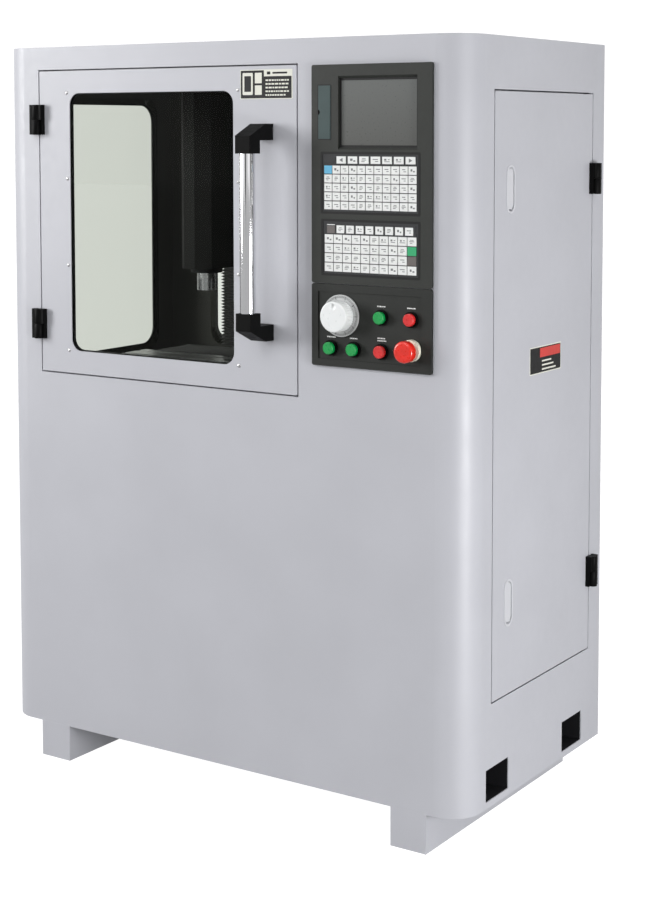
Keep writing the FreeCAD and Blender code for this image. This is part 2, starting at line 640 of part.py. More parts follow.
def media_flap():
    """The flap over the memory-card slot: a hinge barrel down its right edge, a finger nick in its left."""
    u0, u1, z0, z1 = FLAP
    front = -PANEL_PROUD - 0.6
    back = -PANEL_PROUD + FLAP_THICKNESS
    barrel_radius = (back - front) / 2
    hinge_u = u1 - 0.5 - barrel_radius
    flap = block(u0 + 0.5, hinge_u, front, back, z0 + 0.5, z1 - 0.5)
    barrel = upright(hinge_u, (front + back) / 2, z0 + 0.5, z1 - 0.5, barrel_radius)
    flap = joined([flap, barrel])
    nick = inward(u0 - 1, (z0 + z1) / 2, front - 1, back + 1, 5)
    save("media_flap", flap.cut(nick))


def lcd_screen():
    """The 8.4-inch display module behind the bezel's opening."""
    u0, u1, z0, z1 = SCREEN
    save("lcd_screen", block(u0 - 4, u1 + 4, 0, 8, z0 - 4, z1 + 4))


def controller_housing():
    """The control's sheet-steel case behind the front panel, open towards the bezel."""
    u0 = PANEL_U[0] + 18
    u1 = PANEL_U[1] - 18
    z0 = PANEL_SPLIT + 18
    z1 = PANEL_Z[1] - 18
    case = block(u0, u1, 0, 110, z0, z1).cut(block(u0 + 1.5, u1 - 1.5, -1, 108.5, z0 + 1.5, z1 - 1.5))
    for slot in range(8):
        z = z0 + 60 + 14 * slot
        case = case.cut(block(u0 + 60, u1 - 60, 107, 111, z, z + 5))
    save("controller_housing", case)


def aux_panel():
    """The lower panel with its shallow recess, the hand-wheel's hole and six switch holes."""
    panel = block(PANEL_U[0], PANEL_U[1], -PANEL_PROUD, 0, PANEL_Z[0], PANEL_SPLIT - 0.5)
    panel = rounded(panel, PANEL_RADIUS, (0, 1, 0))
    u0, u1, z0, z1 = AUX_RECESS
    panel = panel.cut(block(u0, u1, -PANEL_PROUD - 1, -PANEL_PROUD + AUX_RECESS_DEPTH, z0, z1))
    for u, z in list(BUTTONS.values()) + [STOP_CENTRE]:
        panel = panel.cut(inward(u, z, -PANEL_PROUD, 1, BUTTON_HOLE_RADIUS))
    panel = panel.cut(inward(DIAL_CENTRE[0], DIAL_CENTRE[1], -PANEL_PROUD, 1, 25.3))
    save("aux_panel", panel)


def button_bezels():
    """Five switch bodies: a ring on the panel, a tube through it and a contact block behind."""
    rings = []
    for u, z in BUTTONS.values():
        ring = inward(u, z, AUX_FLOOR - 4, AUX_FLOOR, BUTTON_RING_RADIUS)
        tube = inward(u, z, AUX_FLOOR - 1, AUX_FLOOR + 36, BUTTON_HOLE_RADIUS - 0.3)
        contacts = block(u - 13, u + 13, AUX_FLOOR + 36, AUX_FLOOR + 62, z - 13, z + 13)
        body = joined([ring, tube, contacts])
        body = body.cut(inward(u, z, AUX_FLOOR - 5, AUX_FLOOR - 1, LENS_RADIUS + 0.5))
        rings.append(body.cut(inward(u, z, AUX_FLOOR - 2, AUX_FLOOR + 34, 8)))
    save("button_bezels", *rings)


def push_buttons():
    """The five lens caps, each on its own stem."""
    for name, (u, z) in BUTTONS.items():
        back = AUX_FLOOR - 1 - BUTTON_TRAVEL - 0.3
        front = AUX_FLOOR - LENS_PROUD
        skirt = inward(u, z, front, back, LENS_RADIUS)
        rim = [e for e in skirt.Edges if abs(e.CenterOfMass.y - (FRONT + front)) < 0.01 and e.Length > 10]
        skirt = skirt.makeChamfer(1.6, rim)
        stem = inward(u, z, back - 1, AUX_FLOOR + 28, 7.5)
        save(name, joined([skirt, stem]))


def stop_button():
    """The mushroom stop button and the collar around its neck."""
    u, z = STOP_CENTRE
    collar = inward(u, z, AUX_FLOOR - 9, AUX_FLOOR, STOP_RADIUS + 0.2)
    body = inward(u, z, AUX_FLOOR - 1, AUX_FLOOR + 36, BUTTON_HOLE_RADIUS - 0.3)
    contacts = block(u - 15, u + 15, AUX_FLOOR + 36, AUX_FLOOR + 66, z - 15, z + 15)
    collar = joined([collar, body, contacts]).cut(inward(u, z, AUX_FLOOR - 10, AUX_FLOOR + 34, 8.4))
    save("estop_collar", collar)
    front = AUX_FLOOR - STOP_PROUD
    cap = inward(u, z, front, front + 15, STOP_RADIUS)
    rim = [e for e in cap.Edges if abs(e.CenterOfMass.y - (FRONT + front)) < 0.01 and e.Length > 10]
    cap = cap.makeFillet(5, rim)
    neck = inward(u, z, front + 14, AUX_FLOOR + 28, 8)
    save("estop_mushroom", joined([cap, neck]))


def mpg():
    """The hand-wheel: a fixed dial plate with its encoder, and the knurled knob in front."""
    u, z = DIAL_CENTRE
    plate = inward(u, z, AUX_FLOOR - DIAL_THICKNESS, AUX_FLOOR, DIAL_RADIUS)
    encoder = inward(u, z, AUX_FLOOR - 1, AUX_FLOOR + 35, 25)
    bore = inward(u, z, AUX_FLOOR - DIAL_THICKNESS - 1, AUX_FLOOR + 28, 4.4)
    save("mpg_dial", joined([plate, encoder]).cut(bore))
    back = AUX_FLOOR - DIAL_THICKNESS - 0.8
    front = back - KNOB_HEIGHT
    knob = inward(u, z, front, back, KNOB_RADIUS)
    rim = [e for e in knob.Edges if abs(e.CenterOfMass.y - (FRONT + front)) < 0.01 and e.Length > 10]
    knob = knob.makeFillet(3, rim)
    ridges = []
    for ridge in range(KNOB_RIDGES):
        angle = 2 * math.pi * ridge / KNOB_RIDGES
        ridges.append(inward(u + (KNOB_RADIUS + 0.6) * math.cos(angle), z + (KNOB_RADIUS + 0.6) * math.sin(angle),
                             front + 5, back + 1, 1.5))
    knob = knob.cut(Part.makeCompound(ridges))
    dimple = Part.makeSphere(8, FreeCAD.Vector(LEFT + u, FRONT + front - 4.5, z + 19))
    shaft = inward(u, z, back - 1, AUX_FLOOR + 27, 4)
    save("mpg_knob", joined([knob.cut(dimple), shaft]))


# Machine

def bed_casting():
    """The cast base and bed: hollow below, with a channel on top for the Y ball screw and its motor."""
    u0 = SPINDLE_U - BED_HALF_WIDTH
    u1 = SPINDLE_U + BED_HALF_WIDTH
    v0, v1 = BED_V
    bed = rounded(block(u0, u1, v0, v1, FORK_TOP, BED_TOP), 10, (0, 0, 1))
    bed = bed.cut(block(u0 + 20, u1 - 20, v0 + 20, v1 - 20, FORK_TOP - 1, BED_TOP - 110))
    bed = bed.cut(block(SPINDLE_U - 35, SPINDLE_U + 35, v0 + 16, v1 + 1, BED_TOP - 70, BED_TOP + 1))
    bed = bed.cut(inward(SPINDLE_U, Y_SCREW_Z, v0 - 1, v0 + 17, JOURNAL_RADIUS + RUNNING_GAP))
    for side in (-1, 1):
        u = SPINDLE_U + side * (BED_HALF_WIDTH - 10)
        bed = bed.cut(block(u - 30, u + 30, v0 + 60, v1 - 60, 260, 480))
    save("bed_casting", bed)


def column_casting():
    """The upright column with a channel for the Z ball screw and the brackets that end the bellows."""
    u0 = SPINDLE_U - COLUMN_HALF_WIDTH
    u1 = SPINDLE_U + COLUMN_HALF_WIDTH
    v0, v1 = COLUMN_V
    column = block(u0, u1, v0, v1, BED_TOP, COLUMN_TOP)
    column = column.cut(block(u0 + 20, u1 - 20, v0 + 60, v1 - 15, BED_TOP + 15, COLUMN_TOP + 1))
    column = column.cut(block(SPINDLE_U - 40, SPINDLE_U + 40, v0 - 1, v0 + 40, 852, COLUMN_TOP - 20))
    foot = block(u0, u1, 398, v0, 852 - 150, 852)
    front_bracket = block(WAY_COVER_U[0], WAY_COVER_U[1], 393, 399, 803, 850)
    half = BELLOWS_WIDTH / 2
    top_bracket = block(SPINDLE_U - half, SPINDLE_U + half, 398, v0, COLUMN_TOP - 6, COLUMN_TOP)
    column = joined([column, foot, front_bracket, top_bracket])
    column = column.cut(upright(SPINDLE_U, Z_SCREW_V, 840, 860, JOURNAL_RADIUS + RUNNING_GAP))
    column = column.cut(upright(SPINDLE_U, Z_SCREW_V, COLUMN_TOP - 25, COLUMN_TOP + 1, JOURNAL_RADIUS + RUNNING_GAP))
    save("column_casting", column)


def guide_rails():
    """The Y rails on the bed and the Z rails on the column."""
    rails = []
    for side in (-1, 1):
        u = SPINDLE_U + side * Y_RAIL_SPACING / 2
        rails.append(block(u - RAIL_WIDTH / 2, u + RAIL_WIDTH / 2, 70, 390, BED_TOP, BED_TOP + RAIL_HEIGHT))
        u = SPINDLE_U + side * Z_RAIL_SPACING / 2
        rails.append(block(u - RAIL_WIDTH / 2, u + RAIL_WIDTH / 2, COLUMN_V[0] - RAIL_HEIGHT, COLUMN_V[0], 860, 1390))
    save("guide_rails", *rails)


def servo(u, v, z, axis, length):
    """A square servo motor; its face is at (u, v, z) and its body runs along the axis."""
    half = SERVO_SIZE / 2
    start = FreeCAD.Vector(LEFT + u, FRONT + v, z)
    if axis == "x":
        body = rounded(block(u, u + length, v - half, v + half, z - half, z + half), 6, (1, 0, 0))
    elif axis == "y":
        body = rounded(block(u - half, u + half, v, v + length, z - half, z + half), 6, (0, 1, 0))
    else:
        body = rounded(block(u - half, u + half, v - half, v + half, z, z + length), 6, (0, 0, 1))
    directions = {"x": (1, 0, 0), "y": (0, 1, 0), "z": (0, 0, 1)}
    hole = Part.makeCylinder(JOURNAL_RADIUS + RUNNING_GAP, 20, start, FreeCAD.Vector(*directions[axis]))
    return body.cut(hole)


def axis_servo_motors():
    """The Y motor in the bed's channel and the Z motor on top of the column."""
    save("axis_servo_motors", servo(SPINDLE_U, 410, Y_SCREW_Z, "y", 100),
         servo(SPINDLE_U, Z_SCREW_V, COLUMN_TOP, "z", 90))


def ball_screws():
    """The three ball screws, each with a turned journal at both ends."""
    y_screw = joined([inward(SPINDLE_U, Y_SCREW_Z, 77, 400, SCREW_SHAFT_RADIUS),
                      inward(SPINDLE_U, Y_SCREW_Z, 64, 425, JOURNAL_RADIUS)])
    save("y_ball_screw", y_screw)
    z_screw = joined([upright(SPINDLE_U, Z_SCREW_V, 853, COLUMN_TOP - 21, SCREW_SHAFT_RADIUS),
                      upright(SPINDLE_U, Z_SCREW_V, 842, COLUMN_TOP + 15, JOURNAL_RADIUS)])
    save("z_ball_screw", z_screw)
    end = SADDLE_HALF_LENGTH
    x_screw = joined([sideways(SPINDLE_V, X_SCREW_Z, SPINDLE_U - end + 15, SPINDLE_U + end - 15, SCREW_SHAFT_RADIUS),
                      sideways(SPINDLE_V, X_SCREW_Z, SPINDLE_U - end - 15, SPINDLE_U + end - 3, JOURNAL_RADIUS)])
    save("x_ball_screw", x_screw)


def saddle():
    """The cross slide: carriages over the Y rails below, the X rails and the X screw's channel on top."""
    z0, z1 = SADDLE_Z
    end = SADDLE_HALF_LENGTH
    v0 = SPINDLE_V - 60
    v1 = SPINDLE_V + 60
    body = block(SPINDLE_U - end, SPINDLE_U + end, v0, v1, z0, z1)
    body = body.cut(block(SPINDLE_U - end + 14, SPINDLE_U + end - 14, SPINDLE_V - 20, SPINDLE_V + 20, z0 + 7, z1 + 1))
    body = body.cut(sideways(SPINDLE_V, X_SCREW_Z, SPINDLE_U - end - 1, SPINDLE_U + end + 1,
                             JOURNAL_RADIUS + RUNNING_GAP))
    parts = [body]
    for side in (-1, 1):
        u = SPINDLE_U + side * Y_RAIL_SPACING / 2
        carriage = block(u - 20, u + 20, SPINDLE_V - 50, SPINDLE_V + 50, BED_TOP + 6, z0)
        rail = block(u - RAIL_WIDTH / 2 - RUNNING_GAP, u + RAIL_WIDTH / 2 + RUNNING_GAP, 0, CABINET_DEPTH,
                     BED_TOP, BED_TOP + RAIL_HEIGHT + RUNNING_GAP)
        parts.append(carriage.cut(rail))
        v = SPINDLE_V + side * X_RAIL_SPACING / 2
        parts.append(block(SPINDLE_U - end, SPINDLE_U + end, v - RAIL_WIDTH / 2, v + RAIL_WIDTH / 2,
                           z1, z1 + RAIL_HEIGHT))
        edge = SPINDLE_V + side * (TABLE_WIDTH / 2 + 1)
        outer = SPINDLE_V + side * (TABLE_WIDTH / 2 + 6)
        parts.append(block(WAY_COVER_U[0] + 20, WAY_COVER_U[1] - 20, min(edge, outer), max(edge, outer), 803, 848))
        parts.append(block(SPINDLE_U - 50, SPINDLE_U + 50, min(edge, outer), max(edge, outer), z0, 804))
        inner = SPINDLE_V + side * 59
        parts.append(block(SPINDLE_U - 50, SPINDLE_U + 50, min(inner, outer), max(inner, outer), z0, z0 + 20))
    nut = block(SPINDLE_U - 20, SPINDLE_U + 20, SPINDLE_V - 15, SPINDLE_V + 15, Y_SCREW_Z - 22, z0 + 1)
    nut = nut.cut(inward(SPINDLE_U, Y_SCREW_Z, 0, CABINET_DEPTH, SCREW_SHAFT_RADIUS + RUNNING_GAP))
    parts.append(nut)
    save("saddle", joined(parts))


def x_servo_motor():
    """The motor on the saddle's left end that drives the table."""
    face = SPINDLE_U - SADDLE_HALF_LENGTH
    motor = servo(0, SPINDLE_V, X_SCREW_Z, "x", 100)
    half_turn = motor.mirror(FreeCAD.Vector(LEFT, 0, 0), FreeCAD.Vector(1, 0, 0))
    half_turn.translate(FreeCAD.Vector(face, 0, 0))
    save("x_servo_motor", half_turn)


def table():
    """The table: three T-slots on top, carriages over the X rails and the X screw's nut below."""
    z0, z1 = TABLE_Z
    half = TABLE_LENGTH / 2
    v0 = SPINDLE_V - TABLE_WIDTH / 2
    v1 = SPINDLE_V + TABLE_WIDTH / 2
    body = block(SPINDLE_U - half, SPINDLE_U + half, v0, v1, z0, z1)
    for slot in (-1, 0, 1):
        v = SPINDLE_V + slot * SLOT_SPACING
        body = body.cut(block(SPINDLE_U - half - 1, SPINDLE_U + half + 1, v - SLOT_NECK / 2, v + SLOT_NECK / 2,
                              z1 - 10, z1 + 1))
        body = body.cut(block(SPINDLE_U - half - 1, SPINDLE_U + half + 1, v - SLOT_HEAD / 2, v + SLOT_HEAD / 2,
                              z1 - 18, z1 - 10))
    parts = [body]
    for side in (-1, 1):
        v = SPINDLE_V + side * X_RAIL_SPACING / 2
        carriage = block(SPINDLE_U - 40, SPINDLE_U + 40, v - 18, v + 18, SADDLE_Z[1] + 6, z0)
        rail = block(0, CABINET_WIDTH, v - RAIL_WIDTH / 2 - RUNNING_GAP, v + RAIL_WIDTH / 2 + RUNNING_GAP,
                     SADDLE_Z[1], SADDLE_Z[1] + RAIL_HEIGHT + RUNNING_GAP)
        parts.append(carriage.cut(rail))
    nut = block(SPINDLE_U - 20, SPINDLE_U + 20, SPINDLE_V - 14, SPINDLE_V + 14, X_SCREW_Z - 15, z0 + 1)
    nut = nut.cut(sideways(SPINDLE_V, X_SCREW_Z, 0, CABINET_WIDTH, SCREW_SHAFT_RADIUS + RUNNING_GAP))
    parts.append(nut)
    save("table", joined(parts))


def head_casting():
    """The spindle head: carriage plate, arm, spindle housing, and the bearing cap under it."""
    z0, z1 = HEAD_PLATE_Z
    plate = block(SPINDLE_U - 100, SPINDLE_U + 100, 392, 410, z0, z1)
    arm = block(SPINDLE_U - 35, SPINDLE_U + 35, SPINDLE_V, 393, z0, z1 - 40)
    housing = upright(SPINDLE_U, SPINDLE_V, NOSE_Z, z1 - 40, 34)
    cap = upright(SPINDLE_U, SPINDLE_V, NOSE_Z - CAP_THICKNESS, NOSE_Z + 1, CAP_RADIUS)
    parts = [plate, arm, housing, cap]
    for side in (-1, 1):
        u = SPINDLE_U + side * Z_RAIL_SPACING / 2
        carriage = block(u - 20, u + 20, 409, 434, z0 + 30, z1 - 30)
        rail = block(u - RAIL_WIDTH / 2 - RUNNING_GAP, u + RAIL_WIDTH / 2 + RUNNING_GAP,
                     COLUMN_V[0] - RAIL_HEIGHT - RUNNING_GAP, COLUMN_V[0], 0, CABINET_TOP)
        parts.append(carriage.cut(rail))
    middle = (z0 + z1) / 2
    nut = block(SPINDLE_U - 20, SPINDLE_U + 20, 409, Z_SCREW_V + 14, middle - 25, middle + 25)
    nut = nut.cut(upright(SPINDLE_U, Z_SCREW_V, 0, CABINET_TOP, SCREW_SHAFT_RADIUS + RUNNING_GAP))
    head = joined(parts + [nut])
    save("head_casting", head.cut(upright(SPINDLE_U, SPINDLE_V, NOSE_Z - 20, z1, 15 + RUNNING_GAP)))


def cover_outline(inset):
    """The head cover's plan: a narrow front flat with a wide chamfer on each side."""
    side = HEAD_HALF_WIDTH - inset
    flat = HEAD_FLAT_HALF - inset * math.tan(math.radians(22.5))
    front = HEAD_FRONT_V + inset
    shoulder = front + side - flat
    return [(SPINDLE_U - flat, front), (SPINDLE_U + flat, front), (SPINDLE_U + side, shoulder),
            (SPINDLE_U + side, 391.5), (SPINDLE_U - side, 391.5), (SPINDLE_U - side, shoulder)]


def head_cover():
    """The sheet-metal hood over the spindle housing and motor, open towards the column."""
    z0 = NOSE_Z + 2
    outer = prism_up(cover_outline(0), z0, COVER_TOP)
    inner = prism_up(cover_outline(COVER_SHEET), z0 + COVER_SHEET, COVER_TOP - COVER_SHEET)
    rear = block(SPINDLE_U - HEAD_HALF_WIDTH + COVER_SHEET, SPINDLE_U + HEAD_HALF_WIDTH - COVER_SHEET,
                 300, 400, z0 - 1, COVER_TOP - COVER_SHEET)
    cover = outer.cut(inner).cut(rear)
    save("head_cover", cover.cut(upright(SPINDLE_U, SPINDLE_V, z0 - 1, z0 + 5, 34.3)))


def spindle_motor():
    """The motor above the spindle housing."""
    z0 = HEAD_PLATE_Z[1] - 40
    body = upright(SPINDLE_U, SPINDLE_V, z0, 1450, 32)
    flange = rounded(block(SPINDLE_U - 33, SPINDLE_U + 33, SPINDLE_V - 33, SPINDLE_V + 33, z0, z0 + 8), 12, (0, 0, 1))
    motor = joined([body, flange])
    save("spindle_motor", motor.cut(upright(SPINDLE_U, SPINDLE_V, z0 - 1, z0 + 25, 10.4)))


def spindle_shaft():
    """The spindle, coupled to the motor above and threaded for the chuck below."""
    top = HEAD_PLATE_Z[1] - 40
    shaft = joined([upright(SPINDLE_U, SPINDLE_V, CHUCK_BOTTOM + 37, top - 0.5, 15),
                    upright(SPINDLE_U, SPINDLE_V, top - 5, top + 20, 10)])
    bore = upright(SPINDLE_U, SPINDLE_V, CHUCK_BOTTOM, top + 21, 5)
    save("spindle_shaft", shaft.cut(bore))


def collet_chuck():
    """The slotted collet nut that clamps the tool."""
    top = CHUCK_BOTTOM + 37
    nut = upright(SPINDLE_U, SPINDLE_V, CHUCK_BOTTOM, top - 0.4, CHUCK_RADIUS)
    nut = nut.fuse(upright(SPINDLE_U, SPINDLE_V, CHUCK_BOTTOM + 20, top, 15))
    for turn in range(6):
        slot = block(SPINDLE_U - 2.5, SPINDLE_U + 2.5, SPINDLE_V + CHUCK_RADIUS - 3, SPINDLE_V + CHUCK_RADIUS + 2,
                     CHUCK_BOTTOM - 1, CHUCK_BOTTOM + 24)
        centre = FreeCAD.Vector(LEFT + SPINDLE_U, FRONT + SPINDLE_V, 0)
        slot.rotate(centre, FreeCAD.Vector(0, 0, 1), 60 * turn)
        nut = nut.cut(slot)
    nut = nut.cut(upright(SPINDLE_U, SPINDLE_V, CHUCK_BOTTOM - 1, CHUCK_BOTTOM + COLLET_BORE_DEPTH, COLLET_BORE_RADIUS))
    save("collet_chuck", nut)


def folded(points_out, points_back):
    """An outline made of a folded outer line and a plain inner line."""
    return points_out + list(reversed(points_back))


def z_bellows(name, z0, z1):
    """One vertical bellows in front of the Z rails; folds are equal steps of its height."""
    folds = int((z1 - z0) / FOLD_PITCH)
    step = (z1 - z0) / folds
    outer = []
    inner = []
    for fold in range(folds):
        low = z0 + step * fold
        outer.extend([(401 + FOLD_DEPTH, low), (401, low + step / 2)])
        inner.extend([(403 + FOLD_DEPTH, low), (403, low + step / 2)])
    outer.append((401 + FOLD_DEPTH, z1))
    inner.append((403 + FOLD_DEPTH, z1))
    half = BELLOWS_WIDTH / 2
    save(name, prism_across(folded(outer, inner), SPINDLE_U - half, SPINDLE_U + half))


def y_bellows(name, v0, v1):
    """One horizontal bellows beside the table; folds are equal steps of its depth."""
    folds = int((v1 - v0) / FOLD_PITCH)
    step = (v1 - v0) / folds
    top = TABLE_Z[1]
    outer = []
    inner = []
    for fold in range(folds):
        near = v0 + step * fold
        outer.extend([(near, top - FOLD_DEPTH), (near + step / 2, top)])
        inner.extend([(near, top - FOLD_DEPTH - 2), (near + step / 2, top - 2)])
    outer.append((v1, top - FOLD_DEPTH))
    inner.append((v1, top - FOLD_DEPTH - 2))
    save(name, prism_across(folded(outer, inner), WAY_COVER_U[0], WAY_COVER_U[1]))


def bellows():
    """The four folding covers that keep chips off the rails."""
    z_bellows("z_bellows_lower", 852.5, HEAD_PLATE_Z[0] - 0.5)
    z_bellows("z_bellows_upper", HEAD_PLATE_Z[1] + 0.5, COLUMN_TOP - 6.5)
    y_bellows("y_bellows_front", 38, SPINDLE_V - TABLE_WIDTH / 2 - 6.5)
    y_bellows("y_bellows_rear", SPINDLE_V + TABLE_WIDTH / 2 + 6.5, 392.5)


# Cabinet contents

def coolant_tank():
    """A tank on the fork tubes, with a lid and a pump motor on the lid."""
    u0, u1, v0, v1 = 800, 1090, 120, 480
    tank = block(u0, u1, v0, v1, FORK_TOP, 250).cut(block(u0 + 2, u1 - 2, v0 + 2, v1 - 2, FORK_TOP + 2, 248))
    tank = tank.cut(upright(1030, 420, 240, 260, 22))
    pump = upright(880, 300, 249, 262, 45).fuse(upright(880, 300, 249, 400, 38))
    save("coolant_tank", joined([tank, pump]))


def servo_drives():
    """Three drive modules in a row on the partition."""
    drives = []
    for v in (200, 262, 324):
        body = block(PARTITION_U, PARTITION_U + 130, v, v + 50, 800, 960)
        for fin in range(6):
            z = 815 + 22 * fin
            body = body.cut(block(PARTITION_U + 10, PARTITION_U + 90, v - 1, v + 2, z, z + 10))
        drives.append(body)
    save("servo_drives", *drives)


def main():
    os.makedirs("parts", exist_ok=True)
    base_frame()
    fork_tubes()
    front_panel()
    left_side_panel()
    right_side_panel()
    roof_panel()
    back_panel()
    cable_gland()
    fixed_windows()
    chamber_liner()
    chip_pan()
    front_door()
    door_glass()
    door_screws()
    door_handle_tube()
    door_handle_brackets()
    hinges()
    side_door()
    latch_housings()
    latch_levers()
    keypads()
    cnc_bezel()
    media_flap()
    lcd_screen()
    controller_housing()
    aux_panel()
    button_bezels()
    push_buttons()
    stop_button()
    mpg()
    bed_casting()
    column_casting()
    guide_rails()
    axis_servo_motors()
    ball_screws()
    saddle()
    x_servo_motor()
    table()
    head_casting()
    head_cover()
    spindle_motor()
    spindle_shaft()
    collet_chuck()
    bellows()
    coolant_tank()
    servo_drives()


main()
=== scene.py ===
"""Looks for the small enclosed CNC machining center.

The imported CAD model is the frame.  This script gives each of its pieces a procedural finish and adds the
parts that are too fine for it: key caps and their marks, dial ticks, legend bars, seals, trim, label plates
and folding bellows.  Places on the machine are written as (u, v, z) in millimetres, from the cabinet's left
face, its front face and the floor, and turned into the frame's metres by at().  All other lengths are in
metres.
"""
import math
import random
import bpy
import bmesh
from mathutils import Matrix, Vector


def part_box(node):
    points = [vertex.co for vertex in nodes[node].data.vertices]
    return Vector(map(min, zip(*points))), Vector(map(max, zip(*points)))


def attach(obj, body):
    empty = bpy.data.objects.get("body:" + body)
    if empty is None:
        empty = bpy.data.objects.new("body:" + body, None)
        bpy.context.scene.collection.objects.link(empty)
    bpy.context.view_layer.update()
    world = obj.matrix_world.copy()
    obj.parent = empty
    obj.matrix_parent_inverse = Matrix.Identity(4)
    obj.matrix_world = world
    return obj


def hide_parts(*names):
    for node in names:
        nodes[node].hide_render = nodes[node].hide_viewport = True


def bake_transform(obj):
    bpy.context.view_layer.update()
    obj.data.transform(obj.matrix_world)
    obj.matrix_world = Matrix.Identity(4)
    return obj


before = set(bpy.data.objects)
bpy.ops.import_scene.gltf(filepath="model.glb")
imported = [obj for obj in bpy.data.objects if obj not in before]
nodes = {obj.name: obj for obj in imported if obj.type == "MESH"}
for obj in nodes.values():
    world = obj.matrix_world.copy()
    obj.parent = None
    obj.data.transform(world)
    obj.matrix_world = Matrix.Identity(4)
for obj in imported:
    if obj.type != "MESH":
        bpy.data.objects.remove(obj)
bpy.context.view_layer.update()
scene = bpy.context.scene

left_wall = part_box("left_side_panel")[0].x
right_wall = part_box("right_side_panel")[1].x
front_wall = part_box("front_panel")[0].y


def at(u, v, z):
    """Millimetres from the cabinet's left face, front face and the floor, as a point in the frame."""
    return Vector((left_wall + u / 1000, front_wall + v / 1000, z / 1000))


# ---------------------------------------------------------------- materials

EVEN = (1, 1, 1)


class Finish:
    """Builds one procedural material: base colour, its drift, roughness, and bump at one or two scales."""

    def __init__(self, name):
        self.material = bpy.data.materials.new(name)
        self.material.use_nodes = True
        self.tree = self.material.node_tree
        self.shader = self.tree.nodes["Principled BSDF"]
        self.coords = self.tree.nodes.new("ShaderNodeTexCoord")

    def set(self, socket, value):
        """Put a constant on one of the shader's sockets."""
        self.shader.inputs[socket].default_value = value
        return self

    def noise(self, scale, detail=3.0, stretch=EVEN):
        """A noise pattern over the piece, drawn out where stretch is small; gives its factor."""
        mapping = self.tree.nodes.new("ShaderNodeMapping")
        mapping.inputs["Scale"].default_value = stretch
        texture = self.tree.nodes.new("ShaderNodeTexNoise")
        texture.inputs["Scale"].default_value = scale
        texture.inputs["Detail"].default_value = detail
        self.tree.links.new(self.coords.outputs["Object"], mapping.inputs["Vector"])
        self.tree.links.new(mapping.outputs["Vector"], texture.inputs["Vector"])
        return texture.outputs["Fac"]

    def ramp(self, factor, stops):
        """Turn a factor into a colour; each stop is (place, colour)."""
        ramp = self.tree.nodes.new("ShaderNodeValToRGB")
        points = ramp.color_ramp.elements
        while len(points) < len(stops):
            points.new(0.5)
        for point, (place, colour) in zip(points, stops):
            point.position = place
            point.color = (*colour, 1)
        self.tree.links.new(factor, ramp.inputs["Fac"])
        return ramp.outputs["Color"]

    def colour(self, base, drift=0.06, scale=6.0, stretch=EVEN):
        """The base colour, drifting a little darker and lighter over the piece."""
        low = [c * (1 - drift) for c in base]
        high = [min(1, c * (1 + drift)) for c in base]
        out = self.ramp(self.noise(scale, 5, stretch), [(0.3, low), (0.7, high)])
        self.tree.links.new(out, self.shader.inputs["Base Color"])
        return self

    def roughness(self, low, high, scale=30.0, stretch=EVEN):
        """Roughness that wanders between two values."""
        spread = self.tree.nodes.new("ShaderNodeMapRange")
        spread.inputs["From Min"].default_value = 0.3
        spread.inputs["From Max"].default_value = 0.7
        spread.inputs["To Min"].default_value = low
        spread.inputs["To Max"].default_value = high
        self.tree.links.new(self.noise(scale, 4, stretch), spread.inputs["Value"])
        self.tree.links.new(spread.outputs["Result"], self.shader.inputs["Roughness"])
        return self

    def bump(self, *layers):
        """Each layer is (scale, strength, depth in metres, stretch)."""
        previous = None
        for scale, strength, depth, stretch in layers:
            bump = self.tree.nodes.new("ShaderNodeBump")
            bump.inputs["Strength"].default_value = strength
            bump.inputs["Distance"].default_value = depth
            self.tree.links.new(self.noise(scale, 3, stretch), bump.inputs["Height"])
            if previous:
                self.tree.links.new(previous, bump.inputs["Normal"])
            previous = bump.outputs["Normal"]
        self.tree.links.new(previous, self.shader.inputs["Normal"])
        return self


def paint(name, base, gloss, drift=0.03, shine=0.5, peel=0.14, painted_glow=0.0):
    """Powder coat: fine orange peel over a slight unevenness of the sheet; the last argument gives it a faint
    painted glow, not lamp light.
    """
    finish = Finish(name).set("Specular IOR Level", shine)
    finish.set("Emission Color", (1, 1, 0.94, 1)).set("Emission Strength", painted_glow)
    finish.colour(base, drift, 5).roughness(gloss, gloss + 0.12, 60)
    finish.bump((900, peel, 0.0006, EVEN), (7, 0.05, 0.01, EVEN))
    return finish.material


def plastic(name, base, gloss, grain=1400, drift=0.07, shine=0.45):
    """Moulded plastic with a fine spark-eroded grain."""
    finish = Finish(name).set("Specular IOR Level", shine)
    finish.colour(base, drift, 25).roughness(gloss, gloss + 0.12, 90)
    finish.bump((grain, 0.22, 0.0004, EVEN))
    return finish.material


def metal(name, base, gloss, stretch=EVEN, grain=500, strength=0.12, spread=0.14):
    """Bare metal with machining or polishing marks drawn out along one axis."""
    finish = Finish(name).set("Metallic", 1.0)
    finish.colour(base, 0.05, 20, stretch).roughness(gloss, gloss + spread, 120, stretch)
    finish.bump((grain, strength, 0.0003, stretch))
    return finish.material


def passing_light(tree, facing, grazing):
    """Light that goes straight through, tinted from face on to a slant."""
    layer = tree.nodes.new("ShaderNodeLayerWeight")
    layer.inputs["Blend"].default_value = 0.5
    tint = tree.nodes.new("ShaderNodeMix")
    tint.data_type = "RGBA"
    tint.inputs[6].default_value = (*facing, 1)
    tint.inputs[7].default_value = (*grazing, 1)
    tree.links.new(layer.outputs["Facing"], tint.inputs[0])
    clear = tree.nodes.new("ShaderNodeBsdfTransparent")
    tree.links.new(tint.outputs[2], clear.inputs["Color"])
    return clear


